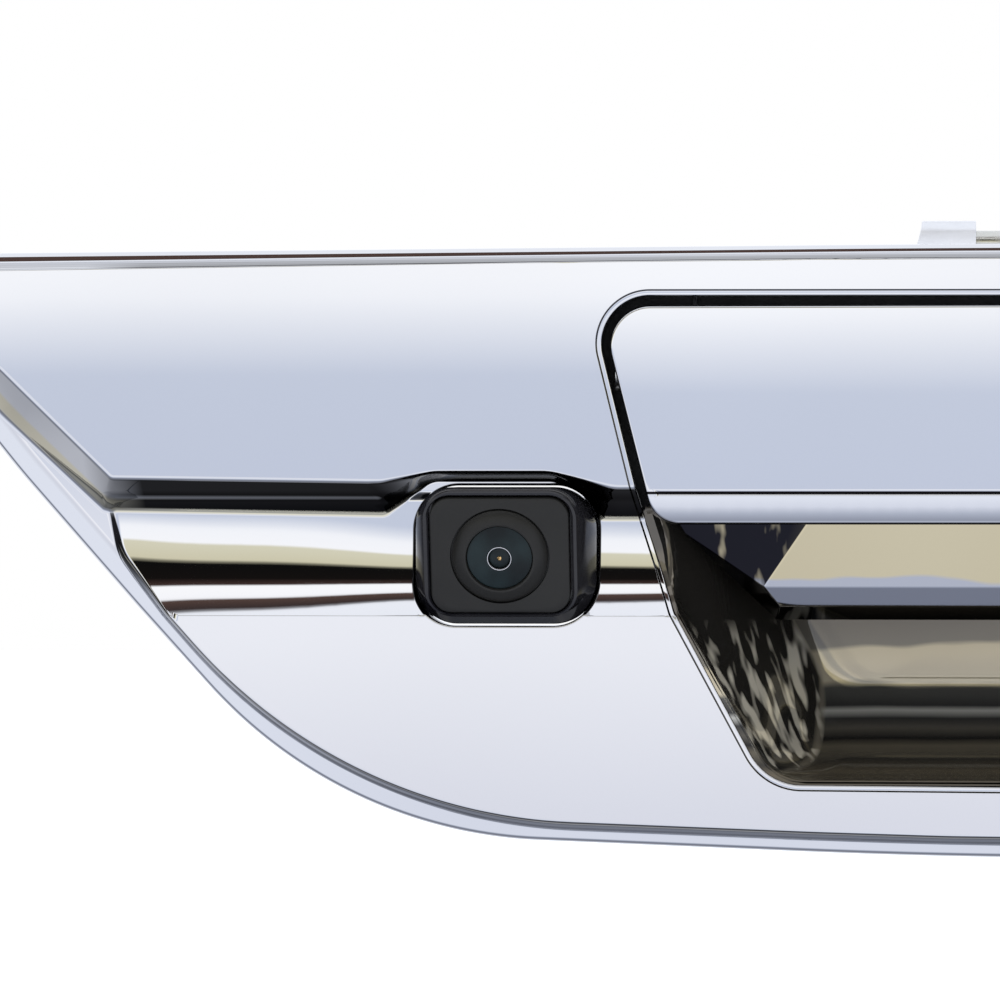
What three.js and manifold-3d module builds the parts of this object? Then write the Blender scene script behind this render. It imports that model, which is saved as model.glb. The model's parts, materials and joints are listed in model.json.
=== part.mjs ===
// Tailgate handle with a built-in reversing camera.
// A chrome garnish sits on the tailgate skin. A sprung paddle hangs in its opening over a finger pocket,
// and its tail turns a release lever on a cross shaft above the garnish. A small camera looks out, tilted
// down, from the channel on the left.
// Millimetres. +X is right as seen from behind the truck, +Y goes into the tailgate, +Z is up. The origin is
// the middle of the lower seating land, in the plane of the tailgate skin, so the garnish stands at
// negative y.
import * as THREE from "three";
import { mergeVertices } from "three/addons/utils/BufferGeometryUtils.js";
import { ConvexGeometry } from "three/addons/geometries/ConvexGeometry.js";
import Module from "manifold-3d";

const wasm = await Module();
wasm.setup();

// ---------------------------------------------------------------------------------------------------------
// Driving dimensions
// ---------------------------------------------------------------------------------------------------------
const GAP = 0.3; // clearance between pieces that touch
const WALL = 2.4; // garnish wall
const GASKET_THICK = 1.2;
const RIM_BACK = -(GASKET_THICK + GAP); // garnish rim, in front of its gasket
const RIM_EDGE = -2.3; // where the rim's vertical edge ends and its bevel starts
const BASE_FRONT = -8.5; // top of the rim bevel
const FLANGE_FRONT = -3.4; // inside face of the seating flange
const SEAT_WIDTH = 4.8;
const OPEN_BACK = 6; // cutters run this far behind the skin

// The faces lean a little: each is a plane y = -(at z0 proud, less slope for each millimetre above z0).
const TOP_FACE = { z0: 74, proud: 17.2, slope: 0.06 };
const LOW_FACE = { z0: 46.9, proud: 15.8, slope: -0.035 };
const faceY = (face, z) => -(face.proud - face.slope * (z - face.z0));

const CHANNEL = { floor: 9.0, top: 72, bend: 61, low: 46.9, lean: 4, rise: 46 }; // lean and rise in degrees

const PIVOT = { y: -7.5, z: 96 }; // paddle hinge axis
const PIN_RADIUS = 2.5;
const PIN_INNER = 66;
const CHEEK = { inner: 87, outer: 91.5, boss: 4.1 };
const SHAFT = { y: 18, z: 122, radius: 3, left: -30.6, right: 35.4 };
const EAR = { inner: 21, outer: 33.4, radius: 5 };
// The roller starts halfway between hinge and shaft, so the lever turns with the paddle, degree for degree.
const TAIL_RADIUS = Math.hypot(SHAFT.y - PIVOT.y, SHAFT.z - PIVOT.z) / 2;
const ROLLER = 2.6; // radius
const SWING = 28; // paddle travel, degrees

const FRAME_FRONT = 3;
const FRAME_BACK = 6.5;

const CAMERA = { x: -115.6, z: 58.8, proud: 19.6, tilt: 18 };
const SHROUD = { x: -115, z: 58.9, w: 36.4, h: 27.4, r: 8.5 };
const CAMERA_FLANGE = { front: -4.2, back: -1.8 };

// ---------------------------------------------------------------------------------------------------------
// Outlines: corner lists {x, z, r, n} in the front view, anticlockwise, with radius r drawn in n steps
// ---------------------------------------------------------------------------------------------------------
const corner = (x, z, r = 0, n = 0) => ({ x, z, r, n });
const leftOf = (c) => ({ ...c, x: -c.x });

// The right half runs from bottom centre to top centre, and the left half mirrors it.
const mirrored = (half) => [...half, ...half.filter((c) => c.x !== 0).reverse().map(leftOf)];
const sided = (s, corners) => (s > 0 ? corners : corners.map(leftOf).reverse());

const SILHOUETTE = mirrored([
  corner(0, -2.7, 1500, 4),
  corner(149, 3, 95, 8),
  corner(190.5, 48.8, 200, 2),
  corner(214, 75.5, 160, 2),
  corner(231, 96.6, 200, 2),
  corner(249, 119.9, 6, 4),
  corner(0, 121.5, 9000, 2),
]);
const BEVEL_TOP = mirrored([
  corner(0, 1.2, 1500, 4),
  corner(149, 7.4, 95, 8),
  corner(186.5, 50.5, 40, 2),
  corner(198, 67, 20, 2),
  corner(219, 86.2, 60, 2),
  corner(245.6, 118.2, 3, 4),
  corner(0, 119.9, 9000, 2),
]);
const TOP_EDGE = [
  corner(-194, 74.4, 1.5, 2),
  corner(-139.5, 73.6, 8, 3),
  corner(-129, 75.4, 12, 3),
  corner(-106, 75.4, 14, 3),
  corner(-93, 72.4, 12, 3),
  corner(139.5, 73.6),
  corner(194, 74.4, 1.5, 2),
  corner(216, 95.8, 60, 2),
  corner(238, 116.4, 3, 3),
  corner(0, 119.2, 9000, 2),
  corner(-238, 116.4, 3, 3),
  corner(-216, 95.8, 60, 2),
];
const TOP_FOOT = [
  corner(-196.8, 68, 1.5, 2),
  corner(-139.5, 67, 2.5, 3),
  corner(-130.5, 74.3, 5, 3),
  corner(-104, 74.3, 6, 3),
  corner(-96.5, 66.2, 3, 3),
  corner(139.5, 67),
  corner(196.8, 68, 1.5, 2),
  corner(217.6, 87.2, 60, 2),
  corner(244, 117.4, 3, 3),
  corner(0, 119.6, 9000, 2),
  corner(-244, 117.4, 3, 3),
  corner(-217.6, 87.2, 60, 2),
];
const LOW_EDGE = mirrored([
  corner(0, 1.7, 1500, 4),
  corner(147.5, 7, 107, 8),
  corner(183.5, 47.6, 30, 2),
  corner(192.5, 59.5, 10, 2),
  corner(195, 70),
]);
const OPENING = mirrored([
  corner(0, 12.4),
  corner(62.9, 12.8, 12, 5),
  corner(81.5, 47.5, 6, 2),
  corner(87.6, 66, 8, 2),
  corner(98.8, 111.3, 10, 5),
  corner(0, 111.1),
]);
const FLAP = mirrored([
  corner(0, 65.4),
  corner(84.4, 65.4, 6, 4),
  corner(96.2, 108.8, 8, 5),
]);

// ---------------------------------------------------------------------------------------------------------
// Outline and solid helpers
// ---------------------------------------------------------------------------------------------------------
const unit = (x, z) => {
  const length = Math.hypot(x, z);
  return [x / length, z / length];
};

// Moves every edge of a corner list inwards by d (outwards if d is negative).
function inset(corners, d) {
  const count = corners.length;
  return corners.map((c, i) => {
    const before = corners[(i + count - 1) % count];
    const after = corners[(i + 1) % count];
    const [ax, az] = unit(c.x - before.x, c.z - before.z);
    const [bx, bz] = unit(after.x - c.x, after.z - c.z);
    const turn = ax * bz - az * bx;
    const scale = d / (1 + ax * bx + az * bz);
    const r = c.n ? Math.max(0.3, c.r - d * Math.sign(turn)) : 0;
    return { x: c.x - (az + bz) * scale, z: c.z + (ax + bx) * scale, r, n: c.n };
  });
}

// The points of a corner list, with its arcs drawn.
function loop(corners) {
  const count = corners.length;
  const points = [];
  corners.forEach((c, i) => {
    if (!c.n) {
      points.push([c.x, c.z]);
      return;
    }
    const before = corners[(i + count - 1) % count];
    const after = corners[(i + 1) % count];
    const [ax, az] = unit(before.x - c.x, before.z - c.z);
    const [bx, bz] = unit(after.x - c.x, after.z - c.z);
    const half = Math.acos(THREE.MathUtils.clamp(ax * bx + az * bz, -1, 1)) / 2;
    const reach = c.r / Math.tan(half);
    const [mx, mz] = unit(ax + bx, az + bz);
    const centre = [c.x + (mx * c.r) / Math.sin(half), c.z + (mz * c.r) / Math.sin(half)];
    const from = Math.atan2(c.z + az * reach - centre[1], c.x + ax * reach - centre[0]);
    const to = Math.atan2(c.z + bz * reach - centre[1], c.x + bx * reach - centre[0]);
    const sweep = Math.atan2(Math.sin(to - from), Math.cos(to - from));
    for (let k = 0; k <= c.n; k++) {
      const a = from + (sweep * k) / c.n;
      points.push([centre[0] + c.r * Math.cos(a), centre[1] + c.r * Math.sin(a)]);
    }
  });
  return points;
}

// A manifold solid from any closed three.js geometry, turned the right way out.
function solid(geometry) {
  const bare = geometry.index ? geometry.toNonIndexed() : geometry.clone();
  for (const name of Object.keys(bare.attributes)) if (name !== "position") bare.deleteAttribute(name);
  const merged = mergeVertices(bare, 1e-4);
  const at = merged.attributes.position.array;
  const faces = [];
  let volume = 0;
  const p = (i) => new THREE.Vector3().fromArray(at, 3 * i);
  for (let i = 0; i < merged.index.count; i += 3) {
    const [a, b, c] = merged.index.array.slice(i, i + 3);
    if (a === b || b === c || c === a) continue;
    faces.push([a, b, c]);
    volume += p(a).dot(p(b).cross(p(c)));
  }
  const triVerts = new Uint32Array(faces.flatMap(([a, b, c]) => (volume < 0 ? [a, c, b] : [a, b, c])));
  return new wasm.Manifold(new wasm.Mesh({ numProp: 3, vertProperties: at, triVerts }));
}

function geometryOf(body) {
  const { vertProperties, triVerts } = body.getMesh();
  const geometry = new THREE.BufferGeometry();
  geometry.setAttribute("position", new THREE.BufferAttribute(vertProperties, 3));
  geometry.setIndex(new THREE.BufferAttribute(triVerts, 1));
  return geometry;
}

const joined = (...bodies) => bodies.reduce((a, b) => a.add(b));
const cut = (body, ...cutters) => cutters.reduce((a, b) => a.subtract(b), body);

// A solid through rings of [x, y, z] points, listed from the back to the front, capped at both ends.
function loft(rings) {
  const count = rings[0].length;
  const index = [];
  for (let k = 0; k + 1 < rings.length; k++) {
    for (let i = 0; i < count; i++) {
      const j = (i + 1) % count;
      const [a, b] = [k * count + i, k * count + j];
      index.push(a, b, b + count, a, b + count, a + count);
    }
  }
  const flat = (ring) => ring.map(([x, , z]) => new THREE.Vector2(x, z));
  const cap = (ring) => THREE.ShapeUtils.triangulateShape(flat(ring), []);
  for (const [a, b, c] of cap(rings[0])) index.push(a, c, b);
  const last = (rings.length - 1) * count;
  for (const [a, b, c] of cap(rings.at(-1))) index.push(last + a, last + b, last + c);
  const geometry = new THREE.BufferGeometry();
  geometry.setAttribute("position", new THREE.Float32BufferAttribute(rings.flat(2), 3));
  geometry.setIndex(index);
  return solid(geometry);
}

// A ring at depth y, which is a number or a function of z.
const ring = (corners, y) => loop(corners).map(([x, z]) => [x, typeof y === "function" ? y(z) : y, z]);
const prismY = (corners, back, front) => loft([ring(corners, back), ring(corners, front)]);

// A profile of [y, z] points, drawn out along X.
function prismX(profile, x0, x1) {
  const shape = new THREE.Shape(profile.map(([y, z]) => new THREE.Vector2(y, z)));
  const geometry = new THREE.ExtrudeGeometry(shape, { depth: x1 - x0, bevelEnabled: false });
  geometry.applyMatrix4(new THREE.Matrix4().set(0, 0, 1, x0, 1, 0, 0, 0, 0, 1, 0, 0, 0, 0, 0, 1));
  return solid(geometry);
}

const box = (x0, x1, y0, y1, z0, z1) =>
  solid(
    new THREE.BoxGeometry(x1 - x0, y1 - y0, z1 - z0).translate((x0 + x1) / 2, (y0 + y1) / 2, (z0 + z1) / 2),
  );
const rodY = (x, z, r, y0, y1, n = 20) =>
  solid(new THREE.CylinderGeometry(r, r, y1 - y0, n).translate(x, (y0 + y1) / 2, z));
const rodX = (y, z, r, x0, x1, n = 20) =>
  solid(new THREE.CylinderGeometry(r, r, x1 - x0, n).rotateZ(Math.PI / 2).translate((x0 + x1) / 2, y, z));
const hull = (points) => solid(new ConvexGeometry(points.map((p) => new THREE.Vector3(...p))));

// A body of revolution about the Y axis, from [radius, y] points, moved to x, z.
const turned = (points, x = 0, z = 0, n = 20) =>
  solid(
    new THREE.LatheGeometry(points.map(([r, y]) => new THREE.Vector2(r, y)), n).translate(x, 0, z),
  );

const rectangle = (x, z, w, h, r, n = 4) => [
  corner(x - w / 2, z - h / 2, r, n),
  corner(x + w / 2, z - h / 2, r, n),
  corner(x + w / 2, z + h / 2, r, n),
  corner(x - w / 2, z + h / 2, r, n),
];
const radians = THREE.MathUtils.degToRad;

// Points of an arc about [y, z], from one angle to another in degrees, for profiles across the object.
const arc = (y, z, r, from, to, n) =>
  Array.from({ length: n + 1 }, (_, k) => {
    const a = radians(from + ((to - from) * k) / n);
    return [y + r * Math.cos(a), z + r * Math.sin(a)];
  });

// ---------------------------------------------------------------------------------------------------------
// Materials
// ---------------------------------------------------------------------------------------------------------
const material = (color, roughness, metalness) =>
  new THREE.MeshStandardMaterial({ color, roughness, metalness });
const CHROME = material(0xd8dbe2, 0.06, 1);
const STEEL = material(0xb4b6b8, 0.3, 1);
const ZINC = material(0xc9ccd2, 0.35, 1);
const NYLON = material(0x17181a, 0.6, 0);
const ACETAL = material(0xe6e2d6, 0.5, 0);
const RUBBER = material(0x101010, 0.85, 0);
const GLOSS_BLACK = material(0x0b0b0d, 0.15, 0);
const SATIN_BLACK = material(0x2a2a2b, 0.45, 0);
const GLASS = material(0x0d1416, 0.03, 0);
const BOARD = material(0x14502c, 0.5, 0);
const SILICON = material(0x23262e, 0.25, 0.2);

const group = new THREE.Group();
function part(name, body, finish, parent = group) {
  const mesh = new THREE.Mesh(geometryOf(body), finish);
  mesh.name = name;
  parent.add(mesh);
}
const SIDES = [
  ["left", -1],
  ["right", 1],
];

// ---------------------------------------------------------------------------------------------------------
// Garnish
// ---------------------------------------------------------------------------------------------------------
// The channel's floor and its rise to the lower face, as [y, z] points set back by t.
function channelCurve(t) {
  const { floor, top, bend, low, lean, rise } = CHANNEL;
  const radius = (bend - low) / (Math.sin(radians(rise)) - Math.sin(radians(lean)));
  const centreZ = bend + radius * Math.sin(radians(lean));
  const centreY = -floor - radius * Math.cos(radians(lean));
  const curve = arc(centreY, centreZ, radius + t, -lean, -rise, 8);
  return [[-floor + t, top], ...curve];
}

// The garnish's outside, or with t above zero the same shape set in by a wall of t, open behind.
function garnishForm(t) {
  const back = t ? OPEN_BACK : RIM_BACK;
  const base = loft([
    ring(inset(SILHOUETTE, t ? SEAT_WIDTH : 0), back),
    ring(inset(SILHOUETTE, t ? SEAT_WIDTH : 0), t ? FLANGE_FRONT : RIM_EDGE),
    ring(inset(BEVEL_TOP, t), BASE_FRONT + t),
  ]);
  const top = loft([
    ring(inset(TOP_FOOT, t), BASE_FRONT + 1 + t),
    ring(inset(TOP_EDGE, t), (z) => faceY(TOP_FACE, z) + t),
  ]);
  const curve = channelCurve(t);
  const [edgeY, edgeZ] = curve.at(-1);
  const section = [
    ...curve,
    [faceY(LOW_FACE, edgeZ) + t < edgeY ? edgeY : faceY(LOW_FACE, edgeZ) + t, edgeZ - 0.01],
    [faceY(LOW_FACE, 0) + t, 0],
    [-5, -6],
    [-5, CHANNEL.top],
  ];
  const low = loft([ring(inset(LOW_EDGE, t - 1.7), -6), ring(inset(LOW_EDGE, t), -20)]);
  return joined(base, top, low.intersect(prismX(section, -210, 210)));
}

const TOWERS = [
  [214, 104],
  [158, 36],
]; // clip towers in the wings, right side
const FRAME_SCREWS = [
  [108, 106],
  [91, 21],
]; // frame to garnish, right side
const CAMERA_SCREWS = [
  [-139, 58.8],
  [-91.6, 58.8],
];

function garnish() {
  const outer = garnishForm(0);
  const lip = prismY(inset(OPENING, -1.8), -4.5, -30);
  const shroudOutline = rectangle(SHROUD.x, SHROUD.z, SHROUD.w, SHROUD.h, SHROUD.r);
  const cameraLip = prismY(inset(shroudOutline, -2.2), -4.5, -30);
  const hollow = cut(garnishForm(WALL), lip, cameraLip);
  const bosses = [
    ...SIDES.flatMap(([, s]) => TOWERS.map(([x, z]) => rodY(s * x, z, 5, -16, -0.6, 16))),
    ...SIDES.flatMap(([, s]) => FRAME_SCREWS.map(([x, z]) => rodY(s * x, z, 4, -16, FRAME_FRONT - GAP, 16))),
    ...CAMERA_SCREWS.map(([x, z]) => rodY(x, z, 2.6, -15, CAMERA_FLANGE.front - GAP, 12)),
  ].map((b) => b.intersect(joined(outer, box(-250, 250, -9, OPEN_BACK, 2, 118))));
  const pilots = [
    ...SIDES.flatMap(([, s]) => TOWERS.map(([x, z]) => rodY(s * x, z, 2.7, -8, 1, 12))),
    ...SIDES.flatMap(([, s]) => FRAME_SCREWS.map(([x, z]) => rodY(s * x, z, 1.9, -9, OPEN_BACK, 12))),
    ...CAMERA_SCREWS.map(([x, z]) => rodY(x, z, 1.3, -7.6, OPEN_BACK, 10)),
  ];
  const hole = prismY(
    inset(rectangle(SHROUD.x, SHROUD.z, SHROUD.w, SHROUD.h, SHROUD.r), -0.4),
    OPEN_BACK,
    -30,
  );
  const shell = cut(outer, hollow);
  return cut(joined(shell, ...bosses), prismY(OPENING, OPEN_BACK, -30), hole, ...pilots);
}
part("garnish", garnish(), CHROME);

const gasket = cut(
  prismY(inset(SILHOUETTE, 0.4), 0, -GASKET_THICK),
  prismY(inset(SILHOUETTE, SEAT_WIDTH), 1, -GASKET_THICK - 1),
);
part("rim_gasket", gasket, RUBBER);

for (const [side, s] of SIDES) {
  TOWERS.forEach(([x, z], i) => {
    const clip = turned(
      [
        [0, -7], [2.3, -7], [2.3, -0.2], [5.4, -0.2], [6, 0.8], [3, 1.4], [3, 3.4], [4.6, 4.2], [3, 6.2],
        [4.2, 7], [2.6, 9], [3.6, 9.8], [0, 13.5],
      ],
      s * x,
      z,
      14,
    );
    part(`wing_clip_${side}_${i ? "lower" : "upper"}`, clip, ACETAL);
  });
}

// ---------------------------------------------------------------------------------------------------------
// Finger pocket
// ---------------------------------------------------------------------------------------------------------
const POCKET_WALL = 2.2;
const POCKET_TOP = 69;
// Half-outlines of the pocket's inside at rising depth y: its bottom corner, its side and its top corner.
const POCKET_SECTIONS = [
  { y: -17, bottom: 13.2, low: 62.3, mid: 81, top: 88, r: 11 },
  { y: -8.5, bottom: 13.7, low: 60.6, mid: 80.2, top: 86.9, r: 11 },
  { y: 2, bottom: 14.6, low: 57.5, mid: 72, top: 77.5, r: 12 },
  { y: 12, bottom: 18, low: 55, mid: 66.5, top: 70, r: 12 },
  { y: 18.5, bottom: 23.5, low: 52, mid: 63, top: 65, r: 12 },
  { y: 22.5, bottom: 31, low: 49, mid: 59.5, top: 61, r: 10 },
];
function pocketForm(t) {
  const rings = POCKET_SECTIONS.map(({ y, bottom, low, mid, top, r }) => {
    const half = [corner(low, bottom, r, 4), corner(mid, 47.5, 6, 1), corner(top, POCKET_TOP, 1, 1)];
    return [y, inset(mirrored(half), -t)];
  });
  const front = [[-20, rings[0][1]], ...rings.slice(1)];
  const last = front.at(-1);
  const all = t ? [...front, [last[0] + t, last[1]]] : front;
  return loft(all.map(([y, corners]) => ring(corners, y)).reverse());
}
function pocket() {
  const within = prismY(inset(OPENING, 0.4), 40, -30).add(box(-90, 90, -4, 40, 5, 75));
  const trim = garnishForm(1.1).add(box(-100, 100, -6, 40, 0, 80));
  // The paddle hangs in this throat.
  const throat = joined(box(-83, 83, -30, 8.5, 64.2, 80), box(-95, 95, -30, 8.5, 68.6, 80));
  return cut(pocketForm(POCKET_WALL), pocketForm(0), throat).intersect(within).intersect(trim);
}
part("pocket_bowl", pocket(), CHROME);

// ---------------------------------------------------------------------------------------------------------
// Base frame, its screws, studs and nuts
// ---------------------------------------------------------------------------------------------------------
const STUDS = [
  [104.5, 90],
  [88, 36],
]; // right side
const FRAME_OUTLINE = mirrored([
  corner(0, 8),
  corner(98, 8, 5, 3),
  corner(98, 40, 5, 3),
  corner(94, 46, 3, 2),
  corner(94, 78, 3, 2),
  corner(115, 84, 5, 3),
  corner(115, 116.5, 4, 3),
  corner(0, 116.5),
]);
const FRAME_WINDOW = mirrored([
  corner(0, 12.6),
  corner(66, 12.6, 8, 3),
  corner(84, 46, 4, 2),
  corner(84, 80, 3, 2),
  corner(86.3, 86, 2, 1),
  corner(86.3, 108.4, 3, 2),
]);
function baseFrame() {
  const plate = cut(prismY(FRAME_OUTLINE, FRAME_BACK, FRAME_FRONT), prismY(FRAME_WINDOW, 20, -5));
  const cheeks = SIDES.map(([, s]) => {
    const profile = [
      [FRAME_BACK, 86],
      [FRAME_BACK, 106],
      [1, 106],
      ...arc(PIVOT.y, PIVOT.z, CHEEK.boss, 60, 245, 10),
    ];
    const [a, b] = [s * CHEEK.inner, s * CHEEK.outer].sort((p, q) => p - q);
    return cut(prismX(profile, a, b), rodX(PIVOT.y, PIVOT.z, PIN_RADIUS + GAP, a - 1, b + 1));
  });
  const bosses = SIDES.flatMap(([, s]) =>
    STUDS.map(([x, z]) => rodY(s * x, z, 5.5, FRAME_FRONT, FRAME_BACK + 3, 18)),
  );
  const ribs = SIDES.flatMap(([, s]) => {
    const [a, b] = [s * 92.5, s * 114].sort((p, q) => p - q);
    const rib = ([low, high]) => box(a, b, FRAME_BACK - 1, FRAME_BACK + 2.5, low, high);
    return [[99, 101], [84.4, 86]].map(rib);
  });
  const holes = SIDES.flatMap(([, s]) => [
    ...STUDS.map(([x, z]) => rodY(s * x, z, 3.3, -5, 20, 16)),
    ...FRAME_SCREWS.map(([x, z]) => rodY(s * x, z, 2.4, -5, 20, 12)),
    rodY(s * EAR_SCREW.x, EAR_SCREW.z, 1.9, -5, 20, 12),
  ]);
  const bowl = pocketForm(POCKET_WALL + 0.5);
  const tailWay = box(-8, 8, -20, 20, 100, 113.4);
  return cut(joined(plate, ...cheeks, ...bosses, ...ribs), bowl, tailWay, ...holes);
}
const EAR_SCREW = { x: 39, z: 113.4 };
part("base_frame", baseFrame(), NYLON);

// A pan-head screw that enters from behind: head at headY, tip forwards at tipY.
const screw = (x, z, headY, tipY, r, head) =>
  turned(
    [
      [0, tipY], [r * 0.5, tipY], [r, tipY + 1.2], [r, headY], [head, headY], [head, headY + 1.1],
      [head * 0.7, headY + 2.1], [head * 0.32, headY + 2.1], [head * 0.32, headY + 0.9], [0, headY + 0.9],
    ],
    x,
    z,
    10,
  );
for (const [side, s] of SIDES) {
  FRAME_SCREWS.forEach(([x, z], i) => {
    const name = `frame_screw_${side}_${i ? "lower" : "upper"}`;
    part(name, screw(s * x, z, FRAME_BACK + GAP, -6.5, 1.6, 4), STEEL);
  });
  STUDS.forEach(([x, z], i) => {
    const place = `${side}_${i ? "lower" : "upper"}`;
    const stud = turned(
      [[0, 1], [5, 1], [5, FRAME_FRONT - GAP], [3, FRAME_FRONT - GAP], [3, 27], [2.2, 28], [0, 28]],
      s * x,
      z,
      18,
    );
    part(`mount_stud_${place}`, stud, STEEL);
    const hexagon = solid(new THREE.CylinderGeometry(5.77, 5.77, 5, 6).translate(s * x, 18.5, z));
    const flange = rodY(s * x, z, 7, 14.5, 16.2, 24);
    part(`flange_nut_${place}`, cut(joined(hexagon, flange), rodY(s * x, z, 3.3, 10, 24, 18)), STEEL);
  });
}

// ---------------------------------------------------------------------------------------------------------
// Cross shaft above the garnish, its bracket and clips
// ---------------------------------------------------------------------------------------------------------
function shaftBracket() {
  const front = FRAME_BACK + GAP;
  const ears = SIDES.map(([, s]) => {
    const round = arc(SHAFT.y, SHAFT.z, EAR.radius, -20, 165, 10);
    const profile = [[front, 110.8], [22, 114], ...round, [front, 117.5]];
    const [a, b] = [s * EAR.inner, s * EAR.outer].sort((p, q) => p - q);
    const ear = prismX(profile, a, b);
    // The outer flank leans in above the garnish.
    const flank = [
      corner(EAR.outer - 1.7, 132),
      corner(EAR.outer - 1.3, 125.5),
      corner(EAR.outer + 0.4, 118.5),
      corner(EAR.outer + 9, 118.5),
      corner(EAR.outer + 9, 132),
    ];
    const lean = prismY(sided(s, flank), 40, 0);
    return cut(ear, lean);
  });
  const feet = SIDES.map(([, s]) => {
    const [a, b] = [s * 20.5, s * 44].sort((p, q) => p - q);
    return box(a, b, front, front + 3, 110.8, 116.3);
  });
  const bridge = box(-22, 22, front, front + 3, 113.6, 116.3);
  const bores = [
    rodX(SHAFT.y, SHAFT.z, SHAFT.radius + GAP, SHAFT.left - GAP, 50, 24), // blind in the left ear
    ...SIDES.map(([, s]) => rodY(s * EAR_SCREW.x, EAR_SCREW.z, 2.3, 0, 20, 12)),
  ];
  return cut(joined(bridge, ...feet, ...ears), ...bores);
}
part("shaft_bracket", shaftBracket(), ZINC);
part("cross_shaft", rodX(SHAFT.y, SHAFT.z, SHAFT.radius, SHAFT.left, SHAFT.right, 24), STEEL);
for (const [side, s] of SIDES) {
  const x = s > 0 ? EAR.outer + 0.9 : -15; // outside the right ear, and beside the lever's hub
  const disc = rodX(SHAFT.y, SHAFT.z, 5, x - 0.4, x + 0.4, 18);
  const hole = rodX(SHAFT.y, SHAFT.z, 3.3, x - 1, x + 1, 18);
  const mouth = box(x - 1, x + 1, SHAFT.y, SHAFT.y + 8, SHAFT.z - 1.6, SHAFT.z + 1.6);
  part(`shaft_clip_${side}`, cut(disc, hole, mouth), STEEL);
  part(`bracket_screw_${side}`, screw(s * EAR_SCREW.x, EAR_SCREW.z, FRAME_BACK + 3.6, 1, 1.5, 3.6), STEEL);
}

// ---------------------------------------------------------------------------------------------------------
// Release lever: the paddle's roller pushes its cam arm, and its two rear arms pull the latch cables
// ---------------------------------------------------------------------------------------------------------
const PIVOT_TO_SHAFT = Math.atan2(SHAFT.z - PIVOT.z, SHAFT.y - PIVOT.y);
// A point u along the line from hinge to shaft and n below it, as [y, z].
const alongTail = (u, n) => [
  PIVOT.y + u * Math.cos(PIVOT_TO_SHAFT) + n * Math.sin(PIVOT_TO_SHAFT),
  PIVOT.z + u * Math.sin(PIVOT_TO_SHAFT) - n * Math.cos(PIVOT_TO_SHAFT),
];
// The roller's centre as the lever sees it, when both have turned by degrees.
function rollerInLever(degrees) {
  const swung = PIVOT_TO_SHAFT - radians(degrees);
  const dy = PIVOT.y + TAIL_RADIUS * Math.cos(swung) - SHAFT.y;
  const dz = PIVOT.z + TAIL_RADIUS * Math.sin(swung) - SHAFT.z;
  const back = radians(degrees);
  return [
    SHAFT.y + dy * Math.cos(back) + dz * Math.sin(back),
    SHAFT.z - dy * Math.sin(back) + dz * Math.cos(back),
  ];
}

const LEVER = { half: 14.2, hub: 6.2, cam: 2.6, cableY: SHAFT.y + 21, cableZ: SHAFT.z - 9 };
// The roller's track in the lever, set off to the lever's side.
const camFace = (offset) =>
  Array.from({ length: 9 }, (_, k) => {
    const degrees = (SWING * k) / 8;
    const [y0, z0] = rollerInLever(degrees);
    const [y1, z1] = rollerInLever(degrees + 1);
    const [ty, tz] = unit(y1 - y0, z1 - z0);
    return [y0 - tz * offset, z0 + ty * offset];
  });
function releaseLever() {
  const reach = ROLLER + 0.35;
  const span = 2 * TAIL_RADIUS;
  const camProfile = [
    alongTail(span, reach),
    ...camFace(reach),
    ...camFace(reach + 3.6).reverse(),
    alongTail(span, reach + 3),
  ];
  const cam = prismX(camProfile, -LEVER.cam, LEVER.cam);
  const hub = rodX(SHAFT.y, SHAFT.z, LEVER.hub, -LEVER.half, LEVER.half, 24);
  const arms = SIDES.map(([, s]) => {
    const profile = [
      [SHAFT.y - 2, SHAFT.z - 5.6],
      [LEVER.cableY, LEVER.cableZ - 4],
      ...arc(LEVER.cableY, LEVER.cableZ, 4, -80, 70, 6),
      [SHAFT.y + 2, SHAFT.z + 5.8],
    ];
    const [a, b] = [s * 10.6, s * 14].sort((p, q) => p - q);
    return cut(prismX(profile, a, b), rodX(LEVER.cableY, LEVER.cableZ, 1.8, a - 1, b + 1, 12));
  });
  return cut(joined(hub, cam, ...arms), rodX(SHAFT.y, SHAFT.z, SHAFT.radius + GAP, -20, 20, 24));
}
part("release_lever", releaseLever(), ZINC);
for (const [side, s] of SIDES) {
  const [a, b] = [s * 9, s * 17.5].sort((p, q) => p - q);
  const [c, d] = [s * 14.3, s * 17.5].sort((p, q) => p - q);
  const stem = rodX(LEVER.cableY, LEVER.cableZ, 1.5, a, b, 12);
  const clip = joined(stem, rodX(LEVER.cableY, LEVER.cableZ, 4.2, c, d, 16));
  part(`cable_clip_${side}`, clip, ACETAL);
}

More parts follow.
